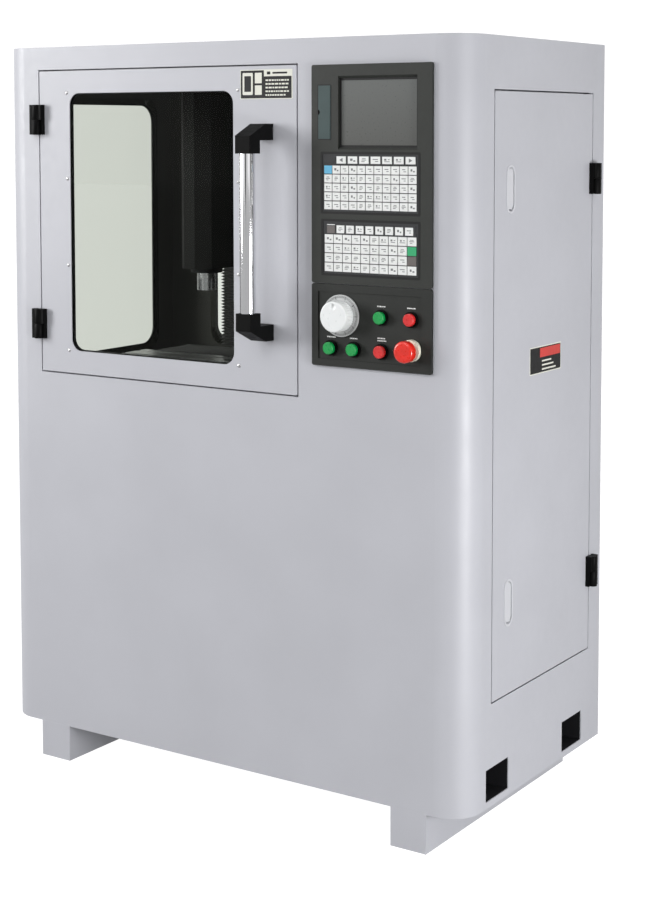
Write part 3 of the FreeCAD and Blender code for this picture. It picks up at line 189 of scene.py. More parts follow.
def smeared_shine(tree):
    """A reflection whose sharpness wanders as on a wiped pane."""
    coords = tree.nodes.new("ShaderNodeTexCoord")
    smear = tree.nodes.new("ShaderNodeTexNoise")
    smear.inputs["Scale"].default_value = 9
    smear.inputs["Detail"].default_value = 4
    tree.links.new(coords.outputs["Object"], smear.inputs["Vector"])
    rough = tree.nodes.new("ShaderNodeMapRange")
    rough.inputs["To Min"].default_value = 0.01
    rough.inputs["To Max"].default_value = 0.06
    tree.links.new(smear.outputs["Fac"], rough.inputs["Value"])
    shine = tree.nodes.new("ShaderNodeBsdfGlossy")
    shine.inputs["Color"].default_value = (1, 1, 1, 1)
    tree.links.new(rough.outputs["Result"], shine.inputs["Roughness"])
    return shine


def clear_sheet(name, facing, grazing):
    """Light passes straight through, a little less at a slant, with a faint reflection on top."""
    material = bpy.data.materials.new(name)
    material.use_nodes = True
    tree = material.node_tree
    tree.nodes.clear()
    out = tree.nodes.new("ShaderNodeOutputMaterial")
    clear = passing_light(tree, facing, grazing)
    shine = smeared_shine(tree)
    fresnel = tree.nodes.new("ShaderNodeFresnel")
    fresnel.inputs["IOR"].default_value = 1.10
    mix = tree.nodes.new("ShaderNodeMixShader")
    tree.links.new(fresnel.outputs["Fac"], mix.inputs[0])
    tree.links.new(clear.outputs[0], mix.inputs[1])
    tree.links.new(shine.outputs[0], mix.inputs[2])
    tree.links.new(mix.outputs[0], out.inputs["Surface"])
    return material


def lens(name, base, glow):
    """A translucent coloured lens with a moulded face and a faint painted glow: no lamp lights it from
    within.
    """
    finish = Finish(name).set("Coat Weight", 0.5).set("Coat Roughness", 0.12)
    # Painted glow: emission on a lens that holds no lamp.
    finish.set("Emission Color", (*base, 1)).set("Emission Strength", glow)
    finish.colour(base, 0.12, 90).roughness(0.25, 0.36, 200)
    finish.bump((1200, 0.1, 0.0003, EVEN))
    return finish.material


def fabric(name, base):
    """Coated bellows cloth: a tight weave under a dull coating."""
    finish = Finish(name).set("Sheen Weight", 0.15).set("Sheen Roughness", 0.5)
    finish.colour(base, 0.15, 40).roughness(0.5, 0.7, 150)
    finish.bump((1800, 0.3, 0.0005, (1, 1, 3)), (300, 0.12, 0.001, EVEN))
    return finish.material


GREY = (0.500, 0.505, 0.545)

# Every finish in use; the numbers after each base colour are named in the functions above.
mat = {
    "paint": paint("enclosure_powder_coat", GREY, 0.36),
    "latch": paint("latch_enamel", (0.60, 0.605, 0.64), 0.28),
    # The chamber black glows faintly: a painted glow that lifts its deepest shade.
    "dark": paint("chamber_black_enamel", (0.036, 0.036, 0.033), 0.60, 0.15, 0.12, 0.04, 0.005),
    "hood": paint("spindle_hood_enamel", (0.030, 0.030, 0.029), 0.60, 0.15, 0.05, 0.05),
    # The fork tubes are near black: painted shade inside the fork pockets.
    "tube": paint("pocket_painted_shade", (0.012, 0.012, 0.014), 0.6, 0.2, 0.2),
    "casting": paint("casting_enamel", (0.020, 0.022, 0.022), 0.46, 0.2, 0.3),
    "glass": clear_sheet("clear_door_sheet", (0.95, 0.96, 0.95), (0.80, 0.82, 0.80)),
    "window": clear_sheet("tinted_window_sheet", (0.98, 0.985, 0.97), (0.47, 0.485, 0.435)),
    "black": plastic("moulded_black", (0.0035, 0.0035, 0.0036), 0.42, 1400, 0.07, 0.06),
    "bezel": plastic("charcoal_bezel", (0.0235, 0.0255, 0.0225), 0.46, 1400, 0.07, 0.30),
    "aux": plastic("charcoal_lower_panel", (0.0165, 0.0180, 0.0160), 0.46, 1400, 0.07, 0.28),
    "membrane": plastic("keypad_membrane", (0.030, 0.031, 0.033), 0.42, 900, 0.07, 0.3),
    "key": plastic("white_key", (0.80, 0.81, 0.80), 0.36, 900, 0.03),
    "key_blue": plastic("blue_key", (0.13, 0.47, 0.71), 0.36, 900),
    "key_green": plastic("green_key", (0.03, 0.37, 0.15), 0.36, 900),
    "key_brown": plastic("dark_key", (0.13, 0.115, 0.11), 0.4, 900),
    "mark": plastic("legend_grey", (0.16, 0.165, 0.17), 0.5, 900),
    "legend": plastic("legend_white", (0.78, 0.79, 0.78), 0.5, 900, 0.03),
    "flap": plastic("flap_grey_green", (0.040, 0.066, 0.066), 0.36, 1400, 0.07, 0.35),
    "cream": plastic("cream_collar", (0.83, 0.80, 0.66), 0.35, 900, 0.03),
    "dial": plastic("dial_grey", (0.52, 0.53, 0.53), 0.34, 900, 0.03),
    "knob": plastic("knob_pearl_silver", (0.84, 0.86, 0.86), 0.26, 900, 0.03, 0.8),
    "chrome": metal("polished_tube", (0.86, 0.86, 0.88), 0.05, (1, 1, 0.05), 60, 0.0, 0.03),
    "steel": metal("ground_steel", (0.55, 0.55, 0.56), 0.20, (1, 0.15, 1)),
    "table": metal("planed_iron", (0.46, 0.46, 0.465), 0.26, (0.08, 1, 1), 900, 0.25),
    "zinc": metal("zinc_plated_sheet", (0.55, 0.56, 0.57), 0.38, (1, 1, 0.3)),
    "green": lens("green_lens", (0.001, 0.29, 0.058), 0.06),
    "red": lens("red_lens", (0.62, 0.022, 0.022), 0.10),
    "stop": lens("stop_red", (0.72, 0.017, 0.006), 0.06),
    "bellows": fabric("bellows_cloth", (0.012, 0.012, 0.012)),
    "rubber": plastic("seal_rubber", (0.012, 0.012, 0.012), 0.6, 600),
    "plate_black": plastic("label_black", (0.010, 0.010, 0.010), 0.42, 900, 0.07, 0.25),
    "plate_red": plastic("label_red", (0.60, 0.055, 0.045), 0.42, 900),
    "plate_cream": plastic("label_cream", (0.74, 0.74, 0.66), 0.42, 900, 0.03),
}


def screen_material():
    """Anti-glare display: a dark grey field with painted light, a little lighter towards its top, and fine
    speckle.
    """
    painted_light_share = 0.75
    speckle_share = 0.35
    finish = Finish("display_panel").set("Specular IOR Level", 0.5)
    speckle = finish.noise(1500, 2)
    low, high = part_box("lcd_screen")
    split = finish.tree.nodes.new("ShaderNodeSeparateXYZ")
    finish.tree.links.new(finish.coords.outputs["Object"], split.inputs[0])
    # Painted light: the field is made lighter towards the display's top.
    rise = finish.tree.nodes.new("ShaderNodeMapRange")
    rise.inputs["From Min"].default_value = low.z
    rise.inputs["From Max"].default_value = high.z
    rise.inputs["To Max"].default_value = painted_light_share
    finish.tree.links.new(split.outputs["Z"], rise.inputs["Value"])
    blend = finish.tree.nodes.new("ShaderNodeMath")
    blend.operation = "MULTIPLY_ADD"
    blend.inputs[1].default_value = speckle_share
    finish.tree.links.new(speckle, blend.inputs[0])
    finish.tree.links.new(rise.outputs["Result"], blend.inputs[2])
    stops = [(0.0, (0.072, 0.073, 0.067)), (1.0, (0.126, 0.134, 0.130))]
    colour = finish.ramp(blend.outputs[0], stops)
    finish.tree.links.new(colour, finish.shader.inputs["Base Color"])
    finish.roughness(0.26, 0.36, 300).bump((1600, 0.12, 0.0003, EVEN))
    return finish.material


mat["screen"] = screen_material()

# Which finish each of the frame's pieces wears.
FINISHES = {
    "paint": ["base_frame", "front_panel", "left_side_panel", "right_side_panel", "roof_panel", "back_panel",
              "front_door", "side_door"],
    "latch": ["latch_housings", "upper_latch_lever", "lower_latch_lever"],
    "dark": ["chamber_liner", "chip_pan"],
    "hood": ["head_cover"],
    "tube": ["fork_tubes"],
    "casting": ["bed_casting", "column_casting", "saddle", "head_casting"],
    "glass": ["door_glass"],
    "window": ["fixed_windows"],
    "black": ["cable_gland", "button_bezels", "door_handle_brackets", "hinge_frame_leaves",
              "front_door_hinge_leaves", "side_door_hinge_leaves", "servo_drives", "axis_servo_motors",
              "x_servo_motor", "spindle_motor"],
    "bezel": ["cnc_bezel"],
    "aux": ["aux_panel"],
    "membrane": ["keypads"],
    "flap": ["media_flap"],
    "cream": ["estop_collar"],
    "dial": ["mpg_dial"],
    "knob": ["mpg_knob"],
    "chrome": ["door_handle_tube"],
    "steel": ["guide_rails", "door_screws", "x_ball_screw", "y_ball_screw", "z_ball_screw", "spindle_shaft",
              "collet_chuck"],
    "table": ["table"],
    "zinc": ["controller_housing", "coolant_tank"],
    "green": ["green_button_upper", "green_button_left", "green_button_middle"],
    "red": ["red_button_upper", "red_button_lower"],
    "stop": ["estop_mushroom"],
    "screen": ["lcd_screen"],
    "bellows": ["y_bellows_front", "y_bellows_rear", "z_bellows_lower", "z_bellows_upper"],
}


def dress_nodes():
    """Give each of the frame's pieces its finish."""
    for key, names in FINISHES.items():
        for name in names:
            nodes[name].data.materials.clear()
            nodes[name].data.materials.append(mat[key])


dress_nodes()

# Folded and moulded edges are never knife-sharp: each listed piece gets a small rounding.
ROUNDING = {
    "cnc_bezel": 0.0012, "aux_panel": 0.0012, "media_flap": 0.0006, "door_handle_brackets": 0.0012,
    "hinge_frame_leaves": 0.001, "front_door_hinge_leaves": 0.001, "side_door_hinge_leaves": 0.001,
    "keypads": 0.0002, "table": 0.0006, "base_frame": 0.0008, "servo_drives": 0.001,
    "latch_housings": 0.0004, "upper_latch_lever": 0.0015, "lower_latch_lever": 0.0015,
}


def round_edges():
    """Bevel the sharp edges of the listed pieces."""
    for name, width in ROUNDING.items():
        weld = nodes[name].modifiers.new("weld", "WELD")
        weld.merge_threshold = 0.00001
        bevel = nodes[name].modifiers.new("edge", "BEVEL")
        bevel.width = width
        bevel.segments = 2
        bevel.limit_method = "ANGLE"
        bevel.angle_limit = math.radians(40)
        bevel.harden_normals = True


round_edges()


# ---------------------------------------------------------------- mesh helpers

def piece(name, mesh, key, body):
    """Make an object from a bmesh, give it a finish, and let it ride on a body if one is named."""
    data = bpy.data.meshes.new(name)
    bmesh.ops.recalc_face_normals(mesh, faces=mesh.faces)
    mesh.to_mesh(data)
    mesh.free()
    obj = bpy.data.objects.new(name, data)
    scene.collection.objects.link(obj)
    data.materials.append(mat[key])
    if body:
        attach(obj, body)
    return obj


def add_block(mesh, low, high, edge=0.0):
    """A box with rounded edges, from its lowest to its highest corner."""
    made = bmesh.ops.create_cube(mesh, size=1.0)["verts"]
    place = Matrix.Translation((low + high) / 2) @ Matrix.Diagonal((*(high - low), 1))
    bmesh.ops.transform(mesh, matrix=place, verts=made)
    if edge:
        edges = list({e for v in made for e in v.link_edges})
        bmesh.ops.bevel(mesh, geom=edges, offset=edge, segments=2, profile=0.7, affect="EDGES")


def rounded_outline(a0, a1, b0, b1, radius, steps=5):
    """The points of a rounded rectangle, in order, with steps + 1 of them round each corner."""
    points = []
    for ca, cb, start in ((a1 - radius, b1 - radius, 0), (a0 + radius, b1 - radius, 90),
                          (a0 + radius, b0 + radius, 180), (a1 - radius, b0 + radius, 270)):
        for step in range(steps + 1):
            angle = math.radians(start + 90 * step / steps)
            points.append((ca + radius * math.cos(angle), cb + radius * math.sin(angle)))
    return points


def skin(mesh, near, far, count):
    """Faces between two rows of vertices, the first count steps along them."""
    for i in range(count):
        j = (i + 1) % len(near)
        mesh.faces.new((near[i], near[j], far[j], far[i]))


def add_solid(mesh, rings):
    """A closed shape skinned over rings of points, all of one length, with a face at either end."""
    rows = [[mesh.verts.new(p) for p in ring] for ring in rings]
    for near, far in zip(rows, rows[1:]):
        skin(mesh, near, far, len(near))
    mesh.faces.new(rows[0][::-1])
    mesh.faces.new(rows[-1])


def add_strip(mesh, rings):
    """An open sheet skinned over open rows of points."""
    rows = [[mesh.verts.new(p) for p in ring] for ring in rings]
    for near, far in zip(rows, rows[1:]):
        skin(mesh, near, far, len(near) - 1)


def add_hoop(mesh, rings):
    """A frame with a hole through it: the rings follow its section round, and the last meets the first."""
    rows = [[mesh.verts.new(p) for p in ring] for ring in rings]
    for near, far in zip(rows, rows[1:] + rows[:1]):
        skin(mesh, near, far, len(near))


def grown(area, by):
    """A rectangle (low, high, low, high) made larger on all four sides."""
    return (area[0] - by, area[1] + by, area[2] - by, area[3] + by)


def front_plate(mesh, u0, u1, z0, z1, v_back, v_front, radius, edge=0.3):
    """A rounded plate facing the operator, with a softened front edge; sizes in millimetres."""
    rings = []
    for v, inset in ((v_back, 0), (v_front + edge, 0), (v_front, edge)):
        outline = rounded_outline(u0 + inset, u1 - inset, z0 + inset, z1 - inset, max(radius - inset, 0.05))
        rings.append([at(u, v, z) for u, z in outline])
    add_solid(mesh, rings)


def frame_ring(mesh, outer, inner, levels, radius_out, radius_in):
    """A rectangular trim ring between two rounded outlines; levels are its back and front in v."""
    back, front = levels
    loops = []
    for area, radius, v in ((outer, radius_out, back), (outer, radius_out, front),
                            (inner, radius_in, front), (inner, radius_in, back)):
        loops.append([at(u, v, z) for u, z in rounded_outline(*area, radius)])
    add_hoop(mesh, loops)


# ---------------------------------------------------------------- camera

# It stands 3.6 m away, to the front and right, at chest height.  It looks 4 degrees down, and its frame is
# shifted so that the machine's upright edges stay nearly parallel.
camera = bpy.data.objects.new("camera", bpy.data.cameras.new("camera"))
scene.collection.objects.link(camera)
scene.camera = camera
camera.location = (2.0541, -2.9868, 1.3351)
camera.rotation_euler = (math.radians(90 - 3.998), math.radians(0.06), math.radians(33.594))
camera.data.lens = 69.84
camera.data.shift_y = -0.22
camera.data.clip_end = 100


# ---------------------------------------------------------------- operator panel

rng = random.Random(7)

# The two keypads as (left, right, bottom, top).  All sizes of the panel are in millimetres except KEY_EDGE,
# which add_block takes in metres.
UPPER = (821.5, 1029.0, 1183.5, 1291.0)
LOWER = (822.5, 1029.0, 1068.0, 1166.0)
PAD_MARGIN = 3.5
KEY_GAP = 1.6
TOP_ROW_GAP = 4.4
KEY_EDGE = 0.00035
KEY_BACK = -5.5
KEY_FRONT = -6.6
MARK_FRONT = KEY_FRONT - 0.03
MARK_BACK = KEY_FRONT + 0.2

# The bars of each kind of key mark: (rise over the key's middle, share of its width, height, shift aside as a
# share of its width).
KEY_MARKS = (
    ((1.6, 0.62, 1.5, 0.0), (-2.2, 0.38, 1.3, 0.16)),
    ((0.6, 0.30, 4.2, -0.14), (-1.6, 0.26, 2.6, 0.24)),
    ((2.8, 0.5, 1.2, 0.0), (0.2, 0.66, 1.3, 0.0), (-2.6, 0.4, 1.2, -0.1)),
    ((1.2, 0.26, 3.2, -0.2), (1.4, 0.24, 1.4, 0.22), (-2.4, 0.7, 1.2, 0.0)),
)
# The keys that are not white, by pad, row and column.
COLOURED_KEYS = {("upper", 0, 0): "key_blue", ("lower", 1, 9): "key_green", ("lower", 2, 9): "key_brown"}
# The two keys with an arrow, and the way each points: 1 is left, -1 is right.
ARROW_KEYS = {("upper", -1, 0): 1, ("upper", -1, 6): -1}


def grid_cells(area, columns, rows, header):
    """The places of the keys below a pad's header: (row, column, u0, u1, z0, z1)."""
    u0, u1, z0, z1 = area
    grid_top = z1 - header
    step_u = (u1 - u0 - 2 * PAD_MARGIN) / columns
    step_z = (grid_top - z0 - PAD_MARGIN) / rows
    inset = KEY_GAP / 2
    cells = []
    for row in range(rows):
        for column in range(columns):
            left = u0 + PAD_MARGIN + step_u * column
            right = left + step_u
            low = grid_top - step_z * (row + 1)
            high = low + step_z
            cells.append((row, column, left + inset, right - inset, low + inset, high - inset))
    return cells


def top_row_cells(count, first, last, low, high):
    """The places of the keys in a pad's header, spread evenly between two edges; they are row -1."""
    wide = (last - first - TOP_ROW_GAP * (count - 1)) / count
    cells = []
    for column in range(count):
        left = first + (wide + TOP_ROW_GAP) * column
        cells.append((-1, column, left, left + wide, low, high))
    return cells


def key_mark(mesh, u0, u1, z0, z1):
    """A plain sign on a key: a few short bars that stand for its printed legend."""
    width = u1 - u0
    middle_u = (u0 + u1) / 2
    middle_z = (z0 + z1) / 2
    kind = rng.choice((0, 0, 1, 2, 2, 3))
    for rise, share, tall, aside in KEY_MARKS[kind]:
        half = width * share * rng.uniform(0.8, 1.1) / 2
        centre = middle_u + width * aside
        low = middle_z + rise - tall / 2
        add_block(mesh, at(centre - half, MARK_FRONT, low), at(centre + half, MARK_BACK, low + tall))


def arrow_mark(mesh, u0, u1, z0, z1, way):
    """A plain triangle in the middle of a key, pointing left or right."""
    tip, tail, half = 4.0, 3.4, 4.0
    middle_u = (u0 + u1) / 2
    middle_z = (z0 + z1) / 2
    base = middle_u + tail * way
    corners = ((middle_u - tip * way, middle_z), (base, middle_z + half), (base, middle_z - half))
    add_solid(mesh, [[at(u, v, z) for u, z in corners] for v in (MARK_FRONT, MARK_BACK)])


def make_keys():
    """All the key caps of both keypads, one piece for each colour, and the marks printed on them."""
    caps = {"key": bmesh.new(), "key_blue": bmesh.new(), "key_green": bmesh.new(), "key_brown": bmesh.new()}
    marks = bmesh.new()
    pads = {"upper": grid_cells(UPPER, 11, 5, 21) + top_row_cells(7, 853.0, 1022.5, 1273.0, 1286.5),
            "lower": grid_cells(LOWER, 10, 4, 24) + top_row_cells(8, 853.0, 1018.0, 1144.0, 1158.6)}
    for pad, cells in pads.items():
        for row, column, u0, u1, z0, z1 in cells:
            spot = (pad, row, column)
            finish = COLOURED_KEYS.get(spot, "key")
            add_block(caps[finish], at(u0, KEY_FRONT, z0), at(u1, KEY_BACK, z1), KEY_EDGE)
            if spot in ARROW_KEYS:
                arrow_mark(marks, u0, u1, z0, z1, ARROW_KEYS[spot])
            elif finish == "key":
                key_mark(marks, u0 + 1.5, u1 - 1.5, z0, z1)
    # The lower pad's first top key is dark, with a thin white strip over it.
    add_block(caps["key_brown"], at(832, KEY_FRONT, 1143.5), at(849, KEY_BACK, 1157), KEY_EDGE)
    add_block(caps["key"], at(832, KEY_FRONT, 1158.6), at(849, KEY_BACK, 1160.2))
    for finish, mesh in caps.items():
        piece("caps_" + finish, mesh, finish, "frame")
    piece("key_marks", marks, "mark", "frame")


make_keys()


def make_display_recess_shade():
    """A thin dark ring round the visible field of the display: painted shade along the edges of its recess.
    """
    field = (860, 1022, 1307, 1426.5)
    mesh = bmesh.new()
    frame_ring(mesh, grown(field, 4.5), field, (-0.1, -0.8), 0.5, 1.0)
    piece("display_recess_shade", mesh, "plate_black", "frame")


make_display_recess_shade()


def make_painted_pocket_shade():
    """Black surrounds of painted shade at the pocket edges: a wide one round each keypad and a narrow one
    round the memory-card flap.
    """
    mesh = bmesh.new()
    for pad in (UPPER, LOWER):
        frame_ring(mesh, grown(pad, 4), grown(pad, -0.4), (-5.6, -6.25), 2.5, 1)
    frame_ring(mesh, (810.6, 841.2, 1316.6, 1419.4), (812.3, 839.7, 1318.3, 1417.7), (-5.6, -6.2), 2, 1)
    piece("painted_pocket_shade", mesh, "plate_black", "frame")


make_painted_pocket_shade()


# The middle of each push button, and how far over it the rows of its legend stand.
BUTTONS = (
    (949.6, 991.4, (20.5,)),
    (1013.7, 991.4, (20.5,)),
    (839.3, 928.6, (20.5,)),
    (890.0, 928.6, (20.5,)),
    (950.2, 928.6, (24.5, 20.0)),
)


def make_legends():
    """Short plain bars over the buttons where a machine carries its legends."""
    left, right, half, gap = 9, 8, 1.1, 0.8
    front, back = -4.12, -3.9
    mesh = bmesh.new()
    for u, z, rows in BUTTONS:
        for rise in rows:
            middle = z + rise
            place = u - left
            while place < u + right:
                wide = rng.uniform(1.6, 3.6)
                add_block(mesh, at(place, front, middle - half), at(place + wide, back, middle + half))
                place += wide + gap
    piece("button_legends", mesh, "legend", "frame")


make_legends()


def make_dial_ticks():
    """A ring of a hundred ticks on the hand-wheel's dial, every tenth one longer and wider."""
    u, z = 862.0, 990.0
    ticks = 100
    outer = 37.6
    front, back = -7.08, -6.9
    mesh = bmesh.new()
    for tick in range(ticks):
        angle = 2 * math.pi * tick / ticks
        inner = 33.4 if tick % 10 else 31.2
        spread = 0.35 if tick % 10 else 0.6
        corners = []
        for reach, side in ((inner, -1), (inner, 1), (outer, 1), (outer, -1)):
            corners.append((u + reach * math.cos(angle) - side * spread * math.sin(angle),
                            z + reach * math.sin(angle) + side * spread * math.cos(angle)))
        add_solid(mesh, [[at(a, v, b) for a, b in corners] for v in (front, back)])
    piece("dial_ticks", mesh, "plate_black", "frame")


make_dial_ticks()


# ---------------------------------------------------------------- label plates and trim

def add_bars(mesh, back, front):
    """Five rows of short bars on the right half of the door's plate, where its text would be."""
    left, bottom, pitch, tall, gap = 688.0, 1400, 7.0, 3.0, 1.6
    for row in range(5):
        z = bottom + pitch * row
        place = left
        while place < (730 if row == 0 else 738):
            reach = rng.uniform(3.0, 8.0)
            add_block(mesh, at(place, front, z), at(place + reach, back, z + tall))
            place += reach + gap


def make_labels():
    """A plain plate where the front door carries a label: pale base, dark fields, pale shapes on them."""
    base = bmesh.new()
    front_plate(base, 628, 750, 1394, 1450, 0.02, -0.35, 2, 0.1)
    piece("door_plate", base, "plate_cream", "front_door_body")
    back, front = -0.3, -0.5
    dark = bmesh.new()
    for u0, u1, z0, z1 in ((629.5, 684, 1395.5, 1448.5), (684, 748, 1395.5, 1437),
                           (691, 699, 1440.5, 1446), (704, 738, 1441.5, 1445)):
        front_plate(dark, u0, u1, z0, z1, back, front, 1, 0.05)
    piece("door_plate_fields", dark, "plate_black", "front_door_body")
    back, front = -0.48, -0.62
    shapes = bmesh.new()
    add_bars(shapes, back, front)
    frame_ring(shapes, (634, 658, 1402, 1444), (638, 654, 1408, 1438), (back, front), 2, 1)
    for z0, z1 in ((1402, 1420), (1424, 1444)):
        front_plate(shapes, 663, 679, z0, z1, back, front, 1, 0.05)
    piece("door_plate_shapes", shapes, "plate_cream", "front_door_body")


make_labels()


def side_plate(name, key, v0, v1, z0, z1, proud):
    """A thin plate on the side door; proud is how far its outer face stands off it, in millimetres."""
    mesh = bmesh.new()
    outline = [at(0, v, z) for v, z in rounded_outline(v0, v1, z0, z1, 1.2)]
    rings = []
    for x in (right_wall - 0.0001, right_wall + proud / 1000):
        rings.append([Vector((x, point.y, point.z)) for point in outline])
    add_solid(mesh, rings)
    piece(name, mesh, key, "side_door_body")


side_plate("side_plate_base", "plate_cream", 249, 383, 867, 920, 0.25)
side_plate("side_plate_field", "plate_black", 251, 381, 869, 918, 0.40)
side_plate("side_plate_band", "plate_red", 292, 379, 898, 916, 0.55)
for index in range(3):
    low_edge = 873.0 + 8.0 * index
    right_edge = 360 - 10 * index
    side_plate("side_plate_bar_%d" % index, "plate_cream", 300, right_edge, low_edge, low_edge + 3, 0.55)


def make_door_seal():
    """The rubber seal on the jamb's lip and the channel that holds the door's glass."""
    jamb = (110, 758, 832, 1456)
    seal = bmesh.new()
    frame_ring(seal, jamb, grown(jamb, -11), (25.9, 22.2), 4, 3)
    piece("door_seal", seal, "rubber", "frame")
    pane = (173, 628.5, 860, 1429)
    channel = bmesh.new()
    frame_ring(channel, pane, grown(pane, -20), (10.5, 7.0), 8, 24)
    piece("glass_channel", channel, "rubber", "front_door_body")


make_door_seal()


def make_window_trim():
    """Rubber trim round the edges of the rear and the left window."""
    depth = 575.0
    opening = (130, 654, 841, 1404)
    rear = bmesh.new()
    frame_ring(rear, opening, grown(opening, -6), (depth + 1.5, depth - 5), 34, 28)
    piece("rear_window_trim", rear, "rubber", "frame")
    opening = (77, 503, 828, 1397)
    inner, outer = 3.8, 0.3
    left = bmesh.new()
    loops = []
    for area, radius, u in ((opening, 43, inner), (opening, 43, outer),
                            (grown(opening, -5), 38, outer), (grown(opening, -5), 38, inner)):
        loops.append([at(u, v, z) for v, z in rounded_outline(*area, radius, 8)])
    add_hoop(left, loops)
    piece("left_window_trim", left, "rubber", "frame")


make_window_trim()


# ---------------------------------------------------------------- bellows

# The fold pitch of the way covers, and the u of the middle that all the covers are centred on, in
# millimetres.
WAY_PITCH = 9.0
MIDDLE = 392.0


def pleated(name, rings, node):
    """A pleated cover from open rings of points, given a cloth thickness, which takes the place of the
    frame's piece of that name: the piece is hidden.
    """
    mesh = bmesh.new()
    add_strip(mesh, rings)
    obj = piece(name, mesh, "bellows", None)
    solid = obj.modifiers.new("cloth", "SOLIDIFY")
    solid.thickness = 0.0007
    solid.offset = 0
    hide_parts(node)
    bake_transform(obj)


def half_folds(low, high, pitch):
    """Every half fold from one end of a cover to the other: (is it an outward edge, place)."""
    count = 2 * round((high - low) / pitch)
    return [(step % 2 == 1, low + (high - low) * step / count) for step in range(count + 1)]


def z_bellows(name, node, z0, z1, pitch):
    """Pleats across the column's front and round both its sides."""
    back, cut = 438, 7.0
    rings = []
    for outward, z in half_folds(z0, z1, pitch):
        half = 119.5 if outward else 114.0
        front = 400.7 if outward else 407.0
        left = MIDDLE - half
        right = MIDDLE + half
        ring = ((left, back), (left, front + cut), (left + cut, front),
                (right - cut, front), (right, front + cut), (right, back))
        rings.append([at(u, v, z) for u, v in ring])
    pleated(name, rings, node)


def y_bellows(name, node, v0, v1):
    """Pleats over the Y ways, with a short skirt down each side."""
    hem, cut = 804, 7
    rings = []
    for outward, v in half_folds(v0, v1, WAY_PITCH):
        half = 210.0 if outward else 205.0
        top = 849.8 if outward else 843.0
        left = MIDDLE - half
        right = MIDDLE + half
        ring = ((left, hem), (left, top - cut), (left + cut, top),
                (right - cut, top), (right, top - cut), (right, hem))
        rings.append([at(u, v, z) for u, z in ring])
    pleated(name, rings, node)


z_bellows("column_bellows_lower", "z_bellows_lower", 852.5, 1059.5, 7.0)
z_bellows("column_bellows_upper", "z_bellows_upper", 1330.5, 1393.5, 3.9)
y_bellows("way_bellows_front", "y_bellows_front", 36.0, 118.5)
y_bellows("way_bellows_rear", "y_bellows_rear", 281.5, 392.5)


# ---------------------------------------------------------------- stage and light

# How bright the floor and the surroundings are when the camera sees them, and the floor in a reflection.
FLOOR_SEEN = 1.05
FLOOR_MIRRORED = 0.35
SURROUNDINGS_SEEN = 1.12

# Brightness round the machine, as (compass direction in degrees, level): as light, then in reflections.
SOFT_LIGHT = [(-180, 0.48), (-130, 0.30), (-60, 0.30), (-30, 0.57), (40, 0.57), (70, 0.50), (180, 0.50)]
REFLECTIONS = [(-180, 1.0), (-12, 1.0), (-6, 0.9), (-1, 0.06), (12, 0.04), (18, 0.55), (36, 0.62), (44, 0.95),
               (72, 0.90), (80, 0.16), (114, 0.12), (122, 0.55), (136, 1.0), (180, 1.0)]


def floor_material():
    """A dull grey floor to the lamps, which glows white to the camera and less brightly in reflections."""
    finish = Finish("pale_floor").set("Roughness", 0.9).set("Specular IOR Level", 0.1)
    finish.colour((0.18, 0.18, 0.18), 0.01, 2)
    finish.set("Emission Color", (1, 1, 1, 1))
    path = finish.tree.nodes.new("ShaderNodeLightPath")
    mirrored = finish.tree.nodes.new("ShaderNodeMath")
    mirrored.operation = "MULTIPLY"
    mirrored.inputs[1].default_value = FLOOR_MIRRORED
    finish.tree.links.new(path.outputs["Is Glossy Ray"], mirrored.inputs[0])
    glow = finish.tree.nodes.new("ShaderNodeMath")
    glow.operation = "MULTIPLY_ADD"
    glow.inputs[1].default_value = FLOOR_SEEN
    finish.tree.links.new(path.outputs["Is Camera Ray"], glow.inputs[0])
    finish.tree.links.new(mirrored.outputs[0], glow.inputs[2])
    finish.tree.links.new(glow.outputs[0], finish.shader.inputs["Emission Strength"])
    return finish.material


def make_stage():
    """A wide floor, a hair below the machine's feet."""
    reach, level = 30.0, -0.0002
    corners = ((-reach, -reach), (reach, -reach), (reach, reach), (-reach, reach))
    mesh = bmesh.new()
    mesh.faces.new([mesh.verts.new((x, y, level)) for x, y in corners])
    data = bpy.data.meshes.new("floor")
    mesh.to_mesh(data)
    mesh.free()
    floor = bpy.data.objects.new("floor", data)
    scene.collection.objects.link(floor)
    data.materials.append(floor_material())


make_stage()


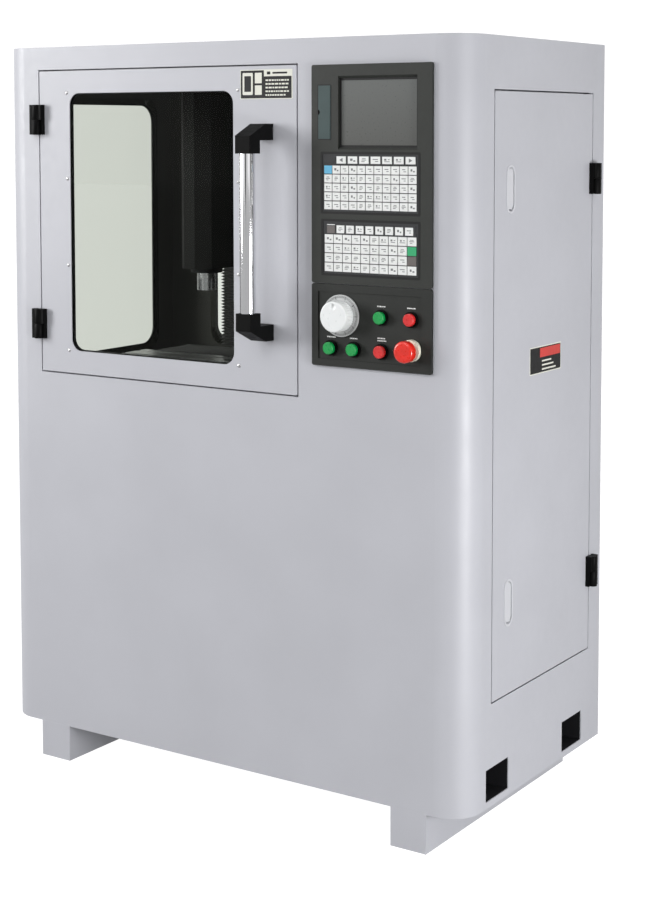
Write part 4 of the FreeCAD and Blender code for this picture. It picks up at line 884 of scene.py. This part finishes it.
class Studio:
    """The white cyclorama: white to the camera, softer as light, and broken by dark gaps in reflections."""

    def __init__(self):
        world = bpy.data.worlds.new("studio")
        scene.world = world
        world.use_nodes = True
        self.nodes = world.node_tree.nodes
        self.links = world.node_tree.links
        self.nodes.clear()

    def background(self, strength):
        """An even white surround."""
        node = self.nodes.new("ShaderNodeBackground")
        node.inputs["Color"].default_value = (1, 1, 1, 1)
        node.inputs["Strength"].default_value = strength
        return node

    def mix(self, factor, first, second):
        """The first shader where the factor is 0, the second where it is 1."""
        node = self.nodes.new("ShaderNodeMixShader")
        self.links.new(factor, node.inputs[0])
        self.links.new(first.outputs[0], node.inputs[1])
        self.links.new(second.outputs[0], node.inputs[2])
        return node

    def compass(self, stops):
        """Brightness by compass direction: 0 is the operator's side, turning towards the machine's right."""
        where = self.nodes.new("ShaderNodeTexCoord")
        split = self.nodes.new("ShaderNodeSeparateXYZ")
        self.links.new(where.outputs["Generated"], split.inputs[0])
        flip = self.nodes.new("ShaderNodeMath")
        flip.operation = "MULTIPLY"
        flip.inputs[1].default_value = -1
        self.links.new(split.outputs["Y"], flip.inputs[0])
        turn = self.nodes.new("ShaderNodeMath")
        turn.operation = "ARCTAN2"
        self.links.new(split.outputs["X"], turn.inputs[0])
        self.links.new(flip.outputs[0], turn.inputs[1])
        spread = self.nodes.new("ShaderNodeMapRange")
        spread.inputs["From Min"].default_value = -math.pi
        spread.inputs["From Max"].default_value = math.pi
        self.links.new(turn.outputs[0], spread.inputs["Value"])
        ramp = self.nodes.new("ShaderNodeValToRGB")
        points = ramp.color_ramp.elements
        while len(points) < len(stops):
            points.new(0.5)
        for point, (degrees, level) in zip(points, stops):
            point.position = (degrees + 180) / 360
            point.color = (level, level, level, 1)
        self.links.new(spread.outputs["Result"], ramp.inputs["Fac"])
        node = self.background(1.0)
        self.links.new(ramp.outputs["Color"], node.inputs["Color"])
        return node

    def build(self):
        """Choose between the three by the kind of ray."""
        path = self.nodes.new("ShaderNodeLightPath")
        shiny = self.mix(path.outputs["Is Glossy Ray"], self.compass(SOFT_LIGHT), self.compass(REFLECTIONS))
        seen = self.mix(path.outputs["Is Camera Ray"], shiny, self.background(SURROUNDINGS_SEEN))
        out = self.nodes.new("ShaderNodeOutputWorld")
        self.links.new(seen.outputs[0], out.inputs["Surface"])


Studio().build()


def area(name, place, target, size, power):
    """A rectangular lamp at a place, turned towards a target; its power is in watts."""
    light = bpy.data.lights.new(name, "AREA")
    light.shape = "RECTANGLE"
    light.size, light.size_y = size
    light.energy = power
    obj = bpy.data.objects.new(name, light)
    scene.collection.objects.link(obj)
    obj.location = place
    obj.rotation_euler = (Vector(target) - Vector(place)).to_track_quat("-Z", "Y").to_euler()


area("key_light", (3.0, -0.9, 0.35), (0.55, 0.0, 0.45), (1.0, 1.2), 72)
area("side_light", (-4.2, -2.9, 2.0), (-0.5, -0.1, 0.9), (1.5, 2.5), 185)
area("front_light", (0.0, -4.4, 4.0), (0.0, -0.2, 1.2), (2.5, 1.5), 51)
area("top_light", (0.0, 0.0, 4.2), (0.0, 0.0, 0.0), (3.0, 3.0), 15)

scene.view_settings.view_transform = "Standard"
scene.view_settings.look = "None"
